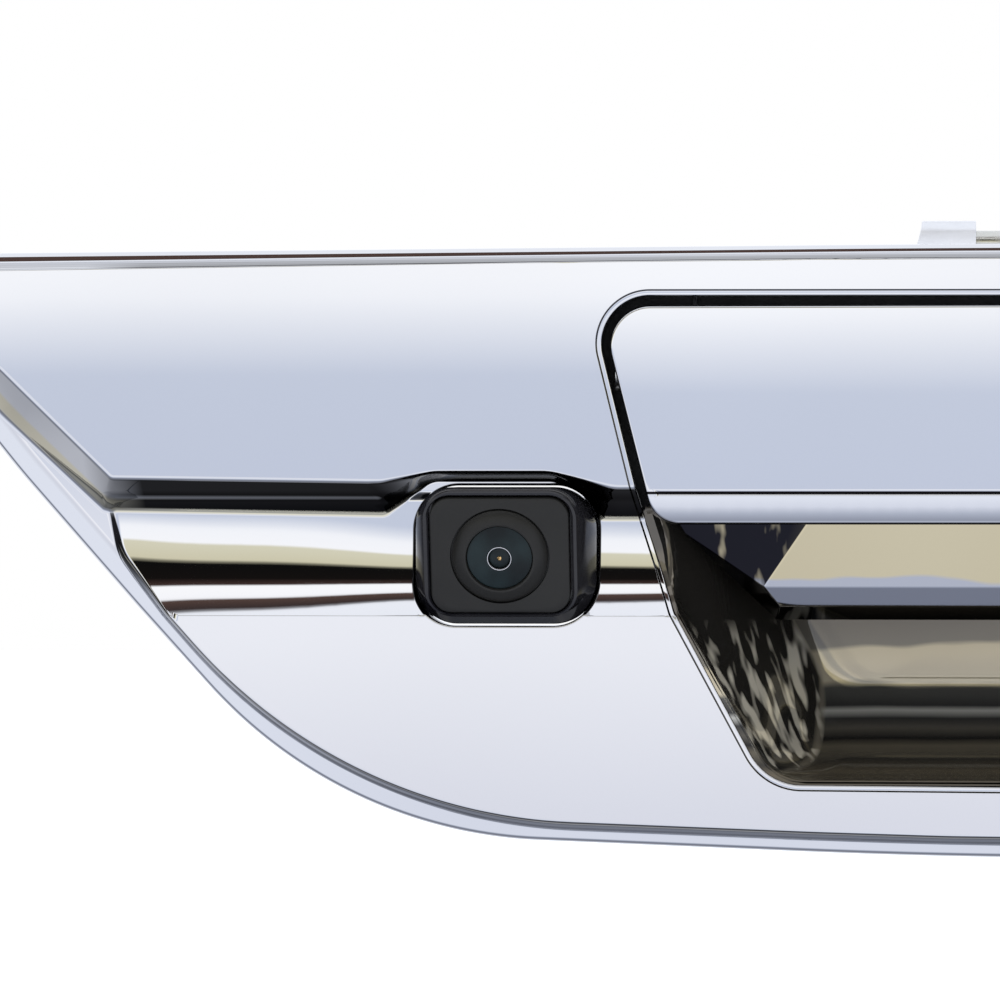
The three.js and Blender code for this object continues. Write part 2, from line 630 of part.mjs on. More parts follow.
// A torsion spring about an X axis: a coil from x0 to x1, with a leg off each end to an [x, y, z] tip.
function torsionSpring(axis, radius, wire, x0, x1, turns, tips) {
  const angleOf = ([, y, z]) => Math.atan2(z - axis.z, y - axis.y);
  const lead = ([, y, z]) => Math.acos(radius / Math.hypot(y - axis.y, z - axis.z));
  const from = angleOf(tips[0]) + lead(tips[0]);
  const to = angleOf(tips[1]) - lead(tips[1]) + turns * 2 * Math.PI;
  const steps = turns * 10;
  const coil = Array.from({ length: steps + 1 }, (_, k) => {
    const a = from + ((to - from) * k) / steps;
    const x = x0 + ((x1 - x0) * k) / steps;
    return new THREE.Vector3(x, axis.y + radius * Math.cos(a), axis.z + radius * Math.sin(a));
  });
  const points = [new THREE.Vector3(...tips[0]), ...coil, new THREE.Vector3(...tips[1])];
  const curve = new THREE.CatmullRomCurve3(points, false, "centripetal");
  const section = new THREE.Shape(
    Array.from({ length: 6 }, (_, k) => {
      const a = (k * Math.PI) / 3;
      return new THREE.Vector2((wire / 2) * Math.cos(a), (wire / 2) * Math.sin(a));
    }),
  );
  const options = { steps: steps + 6, extrudePath: curve, bevelEnabled: false };
  return solid(new THREE.ExtrudeGeometry(section, options));
}
const LEVER_SPRING_TIPS = [
  [12.6, SHAFT.y + 13, SHAFT.z + 2.8],
  [20, FRAME_BACK + 4.3, 114],
];
part("lever_spring", torsionSpring(SHAFT, 4.6, 1.1, 16, 20, 3, LEVER_SPRING_TIPS), STEEL);

// ---------------------------------------------------------------------------------------------------------
// Paddle: flap, grip, carrier, roller, bushes and pins
// ---------------------------------------------------------------------------------------------------------
const FLAP_WALL = 2.6;
const CHAMFER_TOP = 71.4;
const CHAMFER_DROP = 2.5;
function flapProfile(t) {
  const top = 109.5;
  const bottom = 65;
  const lip = faceY(TOP_FACE, CHAMFER_TOP) + CHAMFER_DROP;
  return [
    [faceY(TOP_FACE, top) + t, top],
    [faceY(TOP_FACE, CHAMFER_TOP) + t, CHAMFER_TOP],
    [lip + t, bottom],
    [-6, bottom],
    [-6, top],
  ];
}
function flap() {
  const outer = prismY(FLAP, 0, -20).intersect(prismX(flapProfile(0), -100, 100));
  const hollow = prismY(inset(FLAP, 2.2), 10, -20).intersect(prismX(flapProfile(FLAP_WALL), -100, 100));
  return cut(outer, hollow, box(-100, 100, -12.1, 10, 60, 120), box(-100, 100, -12.9, 10, 60, 71));
}
part("paddle_flap", flap(), CHROME);

const GRIP_POINTS = [
  [53, 67.6, 12.3],
  [63.5, 52.5, 5.4],
  [60.5, 48.6, 2.6],
  [82, 67.6, 7.4],
  [79.3, 63.2, 6.2],
  [61.2, 45.8, -2],
  [72, 67.6, -1.6],
  [58.8, 45.8, -3.4],
]; // half-width, height and how proud, right side
const gripHull = (points) => hull(points.flatMap(([x, z, p]) => [[x, -p, z], [-x, -p, z]]));
function grip() {
  const inner = GRIP_POINTS.map(([x, z, p]) => [x - 3, z + (z < 60 ? 2.2 : 4), p - (p > -1 ? 2.4 : 6)]);
  return cut(gripHull(GRIP_POINTS), gripHull(inner));
}
part("paddle_grip", grip(), CHROME);

const [ROLL_Y, ROLL_Z] = alongTail(TAIL_RADIUS, 0);
const PADDLE_SCREW = { x: 48, z: 86 };
function carrier() {
  const panel = prismY(inset(FLAP, 2.6), -8.2, -11.7).intersect(box(-86.4, 86.4, -12, 0, 69.6, 110));
  const half = (...corners) => mirrored([corner(0, corners[0][1]), ...corners.map((c) => corner(...c))]);
  const heel = box(-50, 50, -11.3, 1.6, 68.2, 73);
  const shelf = prismY(half([70, 68.2], [78, 73], [0, 73]), 1.6, -9);
  const backPlate = prismY(half([56, 46.4, 2, 2], [70, 66], [70, 73], [0, 73]), 6.4, 3.7);
  const link = box(-66, 66, 0, 6.4, 68.4, 73);
  const ribs = [-60, -36, -12, 12, 36, 60].map((x) => box(x - 1, x + 1, -9, -2.5, 70, 103));
  const barrels = SIDES.map(([, s]) => {
    const [a, b] = [s * 79.4, s * 86].sort((p, q) => p - q);
    return rodX(PIVOT.y, PIVOT.z, 5.2, a, b, 18).intersect(box(-90, 90, -11.7, 5, 80, 110));
  });
  const tailSpace = box(-10, 10, -11.7, 20, 80, 120);
  const tailProfile = [
    [-9, 1], [-6, -6], [TAIL_RADIUS + 1, -3.6], [TAIL_RADIUS + 3.2, -1.4], [TAIL_RADIUS + 3.2, 1.4],
    [TAIL_RADIUS + 1, 3.2], [6, 5],
  ].map(([u, n]) => alongTail(u, n));
  const tail = prismX(tailProfile, -5.4, 5.4).intersect(tailSpace);
  const forkProfile = [
    [TAIL_RADIUS - 9.5, -3.1], [TAIL_RADIUS + 9, -3.1], [TAIL_RADIUS + 9, 12], [TAIL_RADIUS - 9.5, 12],
  ].map(([u, n]) => alongTail(u, n));
  const windows = SIDES.map(([, s]) => {
    const [a, b] = [s * 67, s * 79.4].sort((p, q) => p - q);
    return box(a, b, -20, 0, 89, 103);
  });
  const bores = SIDES.flatMap(([, s]) => [
    rodX(PIVOT.y, PIVOT.z, 3.9, Math.min(s * 60, s * 90), Math.max(s * 60, s * 90), 18),
    rodY(s * PADDLE_SCREW.x, PADDLE_SCREW.z, 1.8, -20, 10, 12),
  ]);
  return cut(
    joined(cut(panel, ...windows), heel, shelf, backPlate, link, ...ribs, ...barrels, tail),
    prismX(forkProfile, -3.2, 3.2),
    rodX(ROLL_Y, ROLL_Z, 1.1 + GAP, -9, 9, 12),
    ...bores,
  );
}
part("paddle_carrier", carrier(), NYLON);

// The roller runs in the tail's fork on its own pin.
const roller = cut(
  rodX(ROLL_Y, ROLL_Z, ROLLER, -2.9, 2.9, 20),
  rodX(ROLL_Y, ROLL_Z, 1.1 + GAP, -4, 4, 12),
);
part("cam_roller", roller, ACETAL);
part("roller_pin", rodX(ROLL_Y, ROLL_Z, 1.1, -5.6, 5.6, 12), STEEL);

for (const [side, s] of SIDES) {
  const span = (a, b) => [Math.min(s * a, s * b), Math.max(s * a, s * b)];
  const [p0, p1] = span(PIN_INNER, 92.3);
  const [h0, h1] = span(92.0, 93.2);
  part(
    `hinge_pin_${side}`,
    joined(rodX(PIVOT.y, PIVOT.z, PIN_RADIUS, p0, p1), rodX(PIVOT.y, PIVOT.z, 4, h0, h1)),
    STEEL,
  );
  const [b0, b1] = span(79, 86.2);
  const bush = cut(
    rodX(PIVOT.y, PIVOT.z, 3.6, b0, b1, 18),
    rodX(PIVOT.y, PIVOT.z, PIN_RADIUS + 0.1, b0 - 1, b1 + 1, 18),
  );
  part(`hinge_bush_${side}`, bush, ACETAL);
  part(`paddle_screw_${side}`, screw(s * PADDLE_SCREW.x, PADDLE_SCREW.z, -8.2 + GAP, -12.2, 1.4, 3.2), STEEL);
  const tips = [
    [s * 69.2, -7.3, 81],
    [s * 77.6, FRAME_FRONT - 0.9, 113],
  ];
  part(`paddle_spring_${side}`, torsionSpring(PIVOT, 3.9, 1.1, s * 69.2, s * 77.6, 4, tips), STEEL);
}

// ---------------------------------------------------------------------------------------------------------
// Camera: a shroud in the garnish, and a tilted module behind it
// ---------------------------------------------------------------------------------------------------------
const tilt = radians(CAMERA.tilt);
// From the module's own frame (face centre at the origin, looking along -Y) to the object's.
function placed(body) {
  const matrix = new THREE.Matrix4()
    .makeTranslation(CAMERA.x, -CAMERA.proud, CAMERA.z)
    .multiply(new THREE.Matrix4().makeRotationX(tilt));
  return solid(geometryOf(body).applyMatrix4(matrix));
}
// A ring of the tilted face, set back by depth along the camera's axis.
function tiltedRing(corners, depth) {
  return ring(corners, depth).map(([x, y, z]) => [
    CAMERA.x + x,
    -CAMERA.proud + y * Math.cos(tilt) - z * Math.sin(tilt),
    CAMERA.z + y * Math.sin(tilt) + z * Math.cos(tilt),
  ]);
}
const CASE = { w: 25.8, h: 16.4, low: -2, front: 4.6, back: 21 };
const STRAP_SCREWS = [-131.8, -99.4];
function shroud() {
  const outline = rectangle(SHROUD.x, SHROUD.z, SHROUD.w, SHROUD.h, SHROUD.r, 5);
  const body = loft([
    ring(outline, CAMERA_FLANGE.back - 1),
    ring(outline, -11.5),
    tiltedRing(rectangle(0.2, -0.2, 33.4, 26.6, 7, 5), 3.4),
    tiltedRing(rectangle(0, 0, 30.4, 26, 5.4, 5), 0.9),
  ]);
  const flange = prismY(
    [corner(-143, 47, 4, 3), corner(-88.4, 47, 9, 3), corner(-88.4, 70.6, 9, 3), corner(-143, 70.6, 4, 3)],
    CAMERA_FLANGE.back,
    CAMERA_FLANGE.front,
  );
  const seat = placed(prismY(rectangle(0, 0, 28.4, 24.6, 4.2, 4), 2.9, -5));
  const throat = placed(prismY(rectangle(0, 0, 24, 20, 3, 4), 4.6, -5));
  const tunnel = placed(prismY(rectangle(0, CASE.low, CASE.w + 0.8, CASE.h + 0.8, 3.4, 4), 60, 4));
  const holes = [
    ...CAMERA_SCREWS.map(([x, z]) => rodY(x, z, 1.7, -6, 0, 12)),
    ...STRAP_SCREWS.map((x) => rodY(x, 58.8, 1.1, -5, 0, 12)),
  ];
  return cut(joined(body, flange), seat, throat, tunnel, ...holes);
}
part("camera_shroud", shroud(), GLOSS_BLACK);

const FACE_R = 9.9; // the ring groove round the lens
const face = cut(
  prismY(rectangle(0, 0, 27.8, 24, 4, 5), 2.6, 0),
  turned([[0, -2], [FACE_R, -2], [FACE_R, 0.9], [7.4, 0.9], [7.4, 4], [0, 4]], 0, 0, 40),
);
part("camera_face", placed(face), SATIN_BLACK);
part(
  "lens_barrel",
  placed(
    turned(
      [
        [6.5, 0.4], [6.7, -1.35], [7.1, -1.5], [8.6, -0.9], [9.5, 0.1],
        [9.5, 0.6], [7.1, 0.6], [7.1, 4.3], [6.2, 4.3],
        [6.2, 1.9], [6.5, 1.6], [6.5, 0.4],
      ],
      0,
      0,
      40,
    ),
  ),
  SATIN_BLACK,
);
part(
  "front_lens",
  placed(
    turned([[0, -0.55], [2.4, -0.4], [4.6, 0.05], [6.1, 0.75], [6.1, 1.55], [4, 1.3], [0, 1]], 0, 0, 36),
  ),
  GLASS,
);
part(
  "lens_baffle",
  placed(turned([[2.6, 2.9], [5.9, 2.2], [5.9, 4.3], [2.6, 4.3], [2.6, 2.9]], 0, 0, 32)),
  SATIN_BLACK,
);
const trimRing = turned([[1.9, 2.3], [2.3, 2.2], [2.3, 3.2], [1.9, 3.2], [1.9, 2.3]], 0, 0, 28);
part("lens_trim_ring", placed(trimRing), STEEL);
part("inner_lens", placed(turned([[0, 2.7], [1.2, 2.9], [1.6, 3.4], [1.6, 4.3], [0, 4.3]], 0, 0, 24)), GLASS);

const rearCase = cut(
  prismY(rectangle(0, CASE.low, CASE.w, CASE.h, 3, 3), CASE.back, CASE.front),
  prismY(rectangle(0, CASE.low, CASE.w - 3.6, CASE.h - 3.6, 2, 2), CASE.back - 2, CASE.front - 1),
  rodY(0, CASE.low, 4.6, CASE.back - 5, CASE.back + 3, 20),
);
part("camera_case", placed(rearCase), SATIN_BLACK);
part("sensor_board", placed(prismY(rectangle(0, -1.9, 20.6, 11.8, 1.2, 2), 12, 10.6)), BOARD);
part("image_sensor", placed(prismY(rectangle(0, 0, 4.6, 3.6, 0.4, 1), 10.3, 9.2)), SILICON);
const socket = cut(
  joined(
    rodY(0, CASE.low, 4.3, 14, CASE.back + 8, 20),
    rodY(0, CASE.low, 6.2, CASE.back + 1.8, CASE.back + 3.4, 24),
  ),
  prismY(rectangle(0, CASE.low, 3.8, 3, 0.8, 2), CASE.back + 20, CASE.back + 1),
);
part("camera_socket", placed(socket), NYLON);

// A strap over the back of the camera case, with a foot each side screwed to the shroud's flange.
function strap() {
  const foot = CAMERA_FLANGE.back + GAP;
  const plate = placed(box(-14, 14, CASE.back + GAP, CASE.back + 1.5, -8.6, 4.6));
  const inside = placed(box(-30, 30, -20, CASE.back + 1.5, -40, 40));
  const sides = [
    [CAMERA.x - 14, CAMERA.x - 13.1, STRAP_SCREWS[0] - 2.6, CAMERA.x - 13.4],
    [CAMERA.x + 13.1, CAMERA.x + 14, CAMERA.x + 13.4, STRAP_SCREWS[1] + 2.6],
  ].flatMap(([a, b, c, d]) => [
    box(a, b, foot, 12, 56.4, 64.6).intersect(inside),
    box(c, d, foot, foot + 1.2, 56.4, 61.2),
  ]);
  const holes = STRAP_SCREWS.map((x) => rodY(x, 58.8, 1.2, -9, 3, 12));
  return cut(joined(plate, ...sides), placed(rodY(0, CASE.low, 4.7, 10, 30, 20)), ...holes);
}
part("camera_strap", strap(), STEEL);
CAMERA_SCREWS.forEach(([x, z], i) =>
  part(`camera_screw_${i + 1}`, screw(x, z, CAMERA_FLANGE.back + GAP, -7.2, 1.05, 2.5), STEEL),
);
STRAP_SCREWS.forEach((x, i) =>
  part(
    `strap_screw_${i ? "right" : "left"}`,
    screw(x, 58.8, CAMERA_FLANGE.back + 1.8, -4.7, 0.8, 1.9),
    STEEL,
  ),
);

export default group;
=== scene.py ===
"""Looks for the tailgate handle with a built-in backup camera.

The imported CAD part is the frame. The chrome skins and the camera are built again here with fine, rounded
surfaces; every other CAD node is redrawn with rounded edges. Lengths are in millimetres until a mesh is made.
X is right, Y goes into the tailgate and Z is up, so a surface that stands p proud of the tailgate lies at
y = -p.
"""

import json
import math

import bmesh
import bpy
import numpy as np
from mathutils import Matrix, Vector
from mathutils.geometry import delaunay_2d_cdt

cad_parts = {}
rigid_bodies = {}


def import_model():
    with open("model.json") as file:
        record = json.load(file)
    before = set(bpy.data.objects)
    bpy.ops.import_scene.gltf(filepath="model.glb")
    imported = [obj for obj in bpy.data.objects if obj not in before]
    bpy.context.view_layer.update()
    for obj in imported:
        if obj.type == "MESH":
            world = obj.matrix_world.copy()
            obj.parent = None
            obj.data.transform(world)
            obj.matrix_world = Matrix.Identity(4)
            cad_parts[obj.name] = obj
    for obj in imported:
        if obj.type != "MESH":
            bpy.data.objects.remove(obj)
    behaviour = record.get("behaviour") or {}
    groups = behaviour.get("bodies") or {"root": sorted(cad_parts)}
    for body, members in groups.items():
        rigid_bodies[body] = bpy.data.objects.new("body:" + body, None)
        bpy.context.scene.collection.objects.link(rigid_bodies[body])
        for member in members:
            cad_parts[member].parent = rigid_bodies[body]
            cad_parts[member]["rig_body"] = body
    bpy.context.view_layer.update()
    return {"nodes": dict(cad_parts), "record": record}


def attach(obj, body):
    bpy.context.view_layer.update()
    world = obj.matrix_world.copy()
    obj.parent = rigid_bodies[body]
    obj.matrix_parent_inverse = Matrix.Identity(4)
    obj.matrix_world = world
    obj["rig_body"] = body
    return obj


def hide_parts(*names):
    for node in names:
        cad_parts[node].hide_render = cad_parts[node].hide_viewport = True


MM = 0.001

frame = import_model()

# ---------------------------------------------------------------------------------------------------------
# Outlines: corners (x, z, radius) in the front view, anticlockwise
# ---------------------------------------------------------------------------------------------------------


def mirrored(half):
    """The right half, from bottom centre to top centre, and its mirror image."""
    return half + [(-x, z, r) for x, z, r in reversed(half) if x != 0]


SILHOUETTE = mirrored(
    [
        (0, -2.7, 1500),
        (149, 3, 95),
        (190.5, 48.8, 200),
        (214, 75.5, 160),
        (231, 96.6, 200),
        (249, 119.9, 6),
        (0, 121.5, 9000),
    ]
)
TOP_EDGE = [
    (-194, 74.4, 1.5),
    (-139.5, 73.6, 8),
    (-129, 75.4, 12),
    (-106, 75.4, 14),
    (-93, 72.4, 12),
    (139.5, 73.6, 0),
    (194, 74.4, 1.5),
    (216, 95.8, 60),
    (238, 116.4, 3),
    (0, 119.2, 9000),
    (-238, 116.4, 3),
    (-216, 95.8, 60),
]
TOP_FOOT = [
    (-196.8, 68, 1.5),
    (-139.5, 67, 2.5),
    (-130.5, 74.3, 5),
    (-104, 74.3, 6),
    (-96.5, 66.2, 3),
    (139.5, 67, 0),
    (196.8, 68, 1.5),
    (217.6, 87.2, 60),
    (244, 117.4, 3),
    (0, 119.6, 9000),
    (-244, 117.4, 3),
    (-217.6, 87.2, 60),
]
LOW_EDGE = mirrored(
    [
        (0, 1.7, 1500),
        (147.5, 7, 107),
        (183.5, 47.6, 30),
        (192.5, 59.5, 10),
        (195, 70, 0),
    ]
)
OPENING = mirrored(
    [
        (0, 12.4, 0),
        (62.9, 12.8, 12),
        (81.5, 47.5, 6),
        (87.6, 66, 8),
        (98.8, 111.3, 10),
        (0, 111.1, 0),
    ]
)
FLAP = mirrored([(0, 65.1, 0), (85.0, 65.1, 6.5), (96.2, 108.8, 8)])

# The finger pocket's inside, from its mouth to its back wall: depth, bottom, then half-widths at the bottom,
# at mid-height and at the top, and the bottom corners' radius.
POCKET_SECTIONS = [
    (-17, 13.2, 62.3, 81, 88, 11),
    (-8.5, 13.7, 60.6, 80.2, 86.9, 11),
    (2, 14.6, 57.5, 72, 77.5, 12),
    (12, 18, 55, 66.5, 70, 12),
    (18.5, 23.5, 52, 63, 65, 12),
    (22.5, 31, 49, 59.5, 61, 10),
]
POCKET_TOP = 69

SHROUD = (-115, 58.9, 36.4, 27.4, 8.5)  # centre x and z, width, height, corner radius
TOWERS = [(214, 104, 5, -0.6), (158, 36, 5, -0.6), (108, 106, 4, 2.7), (91, 21, 4, 2.7)]  # x, z, radius, end
LENS_AT = Vector((-115.6, -19.6, 58.8))
LENS_TILT = math.radians(18)

WALL = 2.4
CREASE = 71.4  # height of the flap's crease line


def rectangle(x, z, w, h, r):
    return [
        (x - w / 2, z - h / 2, r),
        (x + w / 2, z - h / 2, r),
        (x + w / 2, z + h / 2, r),
        (x - w / 2, z + h / 2, r),
    ]


def inset(corners, d):
    """The outline moved inwards by d, or outwards if d is negative."""
    points = [np.array(c[:2], float) for c in corners]
    moved = []
    for i, (x, z, r) in enumerate(corners):
        before = points[i] - points[i - 1]
        after = points[(i + 1) % len(points)] - points[i]
        before /= np.linalg.norm(before)
        after /= np.linalg.norm(after)
        turn = before[0] * after[1] - before[1] * after[0]
        scale = d / (1 + before @ after)
        normal = np.array([-before[1] - after[1], before[0] + after[0]])
        place = points[i] + normal * scale
        moved.append((place[0], place[1], max(0.2, r - d * np.sign(turn)) if r else 0))
    return moved


def draw(corners, step=None, turn=3.0, like=None):
    """Points round the outline. Arcs turn by about turn degrees a point, and straight stretches take a point
    every step.
    With like, the points are shared out as for that outline, so rows beside it line up with it."""
    like = like or corners
    pieces = []
    for k in (0, 1):
        source = (corners, like)[k]
        count = len(source)
        ends = []
        for i, (x, z, r) in enumerate(source):
            at = np.array([x, z], float)
            to_last = np.array(source[i - 1][:2]) - at
            to_next = np.array(source[(i + 1) % count][:2]) - at
            to_last = to_last / np.linalg.norm(to_last)
            to_next = to_next / np.linalg.norm(to_next)
            if not r:
                ends.append((at, at, at, 0.0, 0.0, 0.0))
                continue
            half = math.acos(np.clip(to_last @ to_next, -1, 1)) / 2
            middle = (to_last + to_next) / np.linalg.norm(to_last + to_next)
            centre = at + middle * r / math.sin(half)
            first = at + to_last * r / math.tan(half)
            last = at + to_next * r / math.tan(half)
            a0 = math.atan2(*(first - centre)[::-1])
            a1 = math.atan2(*(last - centre)[::-1])
            sweep = math.atan2(math.sin(a1 - a0), math.cos(a1 - a0))
            ends.append((first, last, centre, r, a0, sweep))
        pieces.append(ends)
    points = []
    for i, (first, last, centre, r, a0, sweep) in enumerate(pieces[0]):
        twin = pieces[1][i]
        steps = max(4, round(abs(math.degrees(twin[5])) / turn)) if twin[3] else 0
        if step and twin[3]:
            steps = max(steps, math.ceil(abs(twin[5]) * twin[3] / step))
        for k in range(steps + 1):
            a = a0 + sweep * k / max(1, steps)
            points.append(centre + r * np.array([math.cos(a), math.sin(a)]) if r else centre)
            if not steps:
                break
        following = pieces[0][(i + 1) % len(pieces[0])][0]
        span = np.linalg.norm(pieces[1][(i + 1) % len(pieces[1])][0] - twin[1])
        straight = math.ceil(span / step) if step else 1
        points += [last + (following - last) * k / straight for k in range(1, straight)]
    points = np.array(points)
    apart = np.linalg.norm(points - np.roll(points, 1, 0), axis=1) > 1e-4
    return points[apart]


def depth_in(points, corners, cache={}):
    """Distance from each point to the outline, positive inside it."""
    key = tuple(corners)
    if key not in cache:
        cache[key] = draw(corners, turn=1.5)
    a = cache[key]
    b = np.roll(a, -1, 0)
    run = b - a
    length2 = (run**2).sum(1)
    result = np.empty(len(points))
    for start in range(0, len(points), 4000):
        p = points[start : start + 4000, None, :]
        away = p - a
        t = np.clip((away * run).sum(2) / length2, 0, 1)
        nearest = ((away - t[..., None] * run) ** 2).sum(2).min(1)
        above = (a[:, 1] > p[..., 1]) != (b[:, 1] > p[..., 1])
        rise = np.where(run[:, 1] == 0, 1e-12, run[:, 1])
        left = p[..., 0] < a[:, 0] + (p[..., 1] - a[:, 1]) * run[:, 0] / rise
        inside = (above & left).sum(1) % 2 == 1
        result[start : start + 4000] = np.sqrt(nearest) * np.where(inside, 1, -1)
    return result


# ---------------------------------------------------------------------------------------------------------
# Surfaces: how proud of the tailgate each skin stands at points (x, z)
# ---------------------------------------------------------------------------------------------------------


def soft_floor(t, w):
    """max(t, 0) with its corner rounded over w to each side."""
    return np.where(t < -w, 0, np.where(t > w, t, (t + w) ** 2 / (4 * w)))


def step_up(points, foot, edge, low, high, foot_fillet=0.5, edge_fillet=0.5):
    """low outside the outline foot, high inside the outline edge, and between them a wall with rounded
    corners."""
    from_foot = depth_in(points, foot)
    width = np.maximum(from_foot - depth_in(points, edge), 0.05)
    t = from_foot / width
    share = soft_floor(t, foot_fillet / width) - soft_floor(t - 1, edge_fillet / width)
    return low + (high - low) * np.clip(share, 0, 1)


def crowned(z, z0, proud, lean0, z1, lean1):
    """A face that leans back by lean0 degrees at z0 and lean1 at z1, and stands proud at z0."""
    t0, t1 = math.tan(math.radians(lean0)), math.tan(math.radians(lean1))
    s = z - z0
    return proud - t0 * s - (t1 - t0) * s * s / (2 * (z1 - z0))


def top_face(z):
    return crowned(z, 74, 17.3, 1.0, 119, 8.0)


def low_face(z):
    return crowned(z, CHANNEL_LOW, 15.7, -1.2, 0, -3.0)


CHANNEL_TOP = 67
CHANNEL_LOW = 46.8
CHANNEL_LEAN = (5.5, 33)  # degrees at its top and bottom


def channel(z):
    """The floor leans back more and more towards its foot, where it meets the lower face in a crisp edge."""
    lean, foot = np.radians(CHANNEL_LEAN)
    span = CHANNEL_TOP - CHANNEL_LOW
    rate = (foot - lean) / span
    angle = lean + rate * (CHANNEL_TOP - np.maximum(z, CHANNEL_LOW))
    floor = low_face(CHANNEL_LOW) - (np.log(np.cos(angle)) - math.log(math.cos(foot))) / rate
    below = np.clip(0.5 - (z - CHANNEL_LOW) / 0.5, 0, 1)
    below = below * below * (3 - 2 * below)
    return low_face(np.minimum(z, CHANNEL_LOW)) * below + floor * (1 - below)


SHROUD_HOLE = inset(rectangle(*SHROUD), -0.3)


def garnish_face(points):
    x, z = points.T
    fall = 1.6 + 0.8 * np.clip((z - 100) / 15, 0, 1)
    strip = 7.6 - fall * soft_floor(4.2 - depth_in(points, SILHOUETTE), 0.8) / 4.2
    middle = np.sin(math.pi * np.clip((CHANNEL_TOP - z) / (CHANNEL_TOP - CHANNEL_LOW), 0, 1))
    wave = 2.2 * np.clip((190 - np.abs(x)) / 54, 0, 1) - 0.25 * np.sin(x / 9)
    proud = step_up(points, inset(LOW_EDGE, -1.5), LOW_EDGE, strip, channel(z + wave * middle), 0.4, 0.45)
    proud = step_up(points, TOP_FOOT, TOP_EDGE, proud, top_face(z), 0.7, 0.55)
    ledge = 1 - np.clip((-depth_in(points, OPENING) - 0.45) / 0.35, 0, 1)
    return proud - 0.8 * ledge * ledge * (3 - 2 * ledge)


def flap_face(points):
    z = points[:, 1]
    below = soft_floor(CREASE - z, 0.2)
    groove = np.exp(-(((z - CREASE) / 0.3) ** 2))
    curl = np.clip((65.9 - z) / 0.8, 0, 1)
    lean = 0.012 * (z - CREASE)
    upper = top_face(np.maximum(z, CREASE)) - lean
    return upper - 0.2 * below - 0.045 * below**2 - 0.4 * groove + 0.3 * curl**2


# ---------------------------------------------------------------------------------------------------------
# Meshes
# ---------------------------------------------------------------------------------------------------------


def add_object(name, verts, faces, material, body, normals=None, smooth=True):
    """An object from points in millimetres, on a CAD body."""
    mesh = bpy.data.meshes.new(name)
    mesh.from_pydata((np.asarray(verts, float) * MM).tolist(), [], [tuple(f) for f in faces])
    mesh.update()
    mesh.polygons.foreach_set("use_smooth", [smooth] * len(mesh.polygons))
    if normals is not None:
        mesh.normals_split_custom_set_from_vertices(np.asarray(normals, float).tolist())
    obj = bpy.data.objects.new(name, mesh)
    obj.data.materials.append(material)
    bpy.context.scene.collection.objects.link(obj)
    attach(obj, body)
    return obj


def unit(v):
    return v / np.maximum(np.linalg.norm(v, axis=-1, keepdims=True), 1e-12)


def slope_normals(points, face):
    """Outward normals of the surface y = -face(points), by central differences."""
    e = 0.02
    dx, dz = np.array([e, 0]), np.array([0, e])
    px = (face(points + dx) - face(points - dx)) / (2 * e)
    pz = (face(points + dz) - face(points - dz)) / (2 * e)
    return unit(np.stack([-px, -np.ones(len(points)), -pz], 1))


def triangulate(rows, loose, keep):
    """Delaunay triangles through closed rows of points and loose points. keep(middles) says which triangles
    stay."""
    points, edges = [], []
    for row in rows:
        first = len(points)
        points += [Vector(p) for p in row]
        edges += [(first + i, first + (i + 1) % len(row)) for i in range(len(row))]
    points += [Vector(p) for p in loose]
    verts, _, faces, *_ = delaunay_2d_cdt(points, edges, [], 0, 1e-4)
    verts = np.array([tuple(v) for v in verts])
    faces = np.array([f for f in faces])
    return verts, faces[keep(verts[faces].mean(1))]


def edge_wall(row, face, radius, deep, outward):
    """Rings that round the edge of a face off and run back to depth deep, with their normals.
    outward is +1 if the row's left side is the material, as round a silhouette, and -1 round a hole."""
    tangent = unit(np.roll(row, -1, 0) - np.roll(row, 1, 0))
    side = np.stack([tangent[:, 1], -tangent[:, 0]], 1) * outward
    inner = row - side * radius
    normal = slope_normals(inner, face)
    proud = face(inner)
    rings, normals = [], []
    for angle in np.radians([0, 18, 36, 54, 72, 90]):
        at = inner + side * radius * math.sin(angle)
        y = -(proud - radius * (1 - math.cos(angle)))
        rings.append(np.column_stack([at[:, 0], y, at[:, 1]]))
        blend = math.cos(angle) * normal
        blend = blend + math.sin(angle) * np.column_stack([side[:, 0], np.zeros(len(row)), side[:, 1]])
        normals.append(unit(blend))
    rings.append(np.column_stack([row[:, 0], np.full(len(row), -deep), row[:, 1]]))
    normals.append(normals[-1])
    return inner, rings, normals


def strips(count, rings, start=0):
    """Quads between neighbouring rings of count points, the first at index start."""
    i = np.arange(count)
    j = (i + 1) % count
    quads = []
    for k in range(rings - 1):
        a, b = start + k * count, start + (k + 1) * count
        quads.append(np.column_stack([a + i, b + i, b + j, a + j]))
    return np.concatenate(quads)


def facing_out(verts, polygons, normals):
    """The polygons, each with its corners in the order that turns it to the side its normals point to."""
    corners = verts[polygons]
    turn = np.cross(corners[:, 1] - corners[:, 0], corners[:, 2] - corners[:, 0])
    if polygons.shape[1] == 4:
        turn = turn + np.cross(corners[:, 2] - corners[:, 0], corners[:, 3] - corners[:, 0])
    against = (turn * normals[polygons].sum(1)).sum(1) < 0
    return np.where(against[:, None], polygons[:, ::-1], polygons)


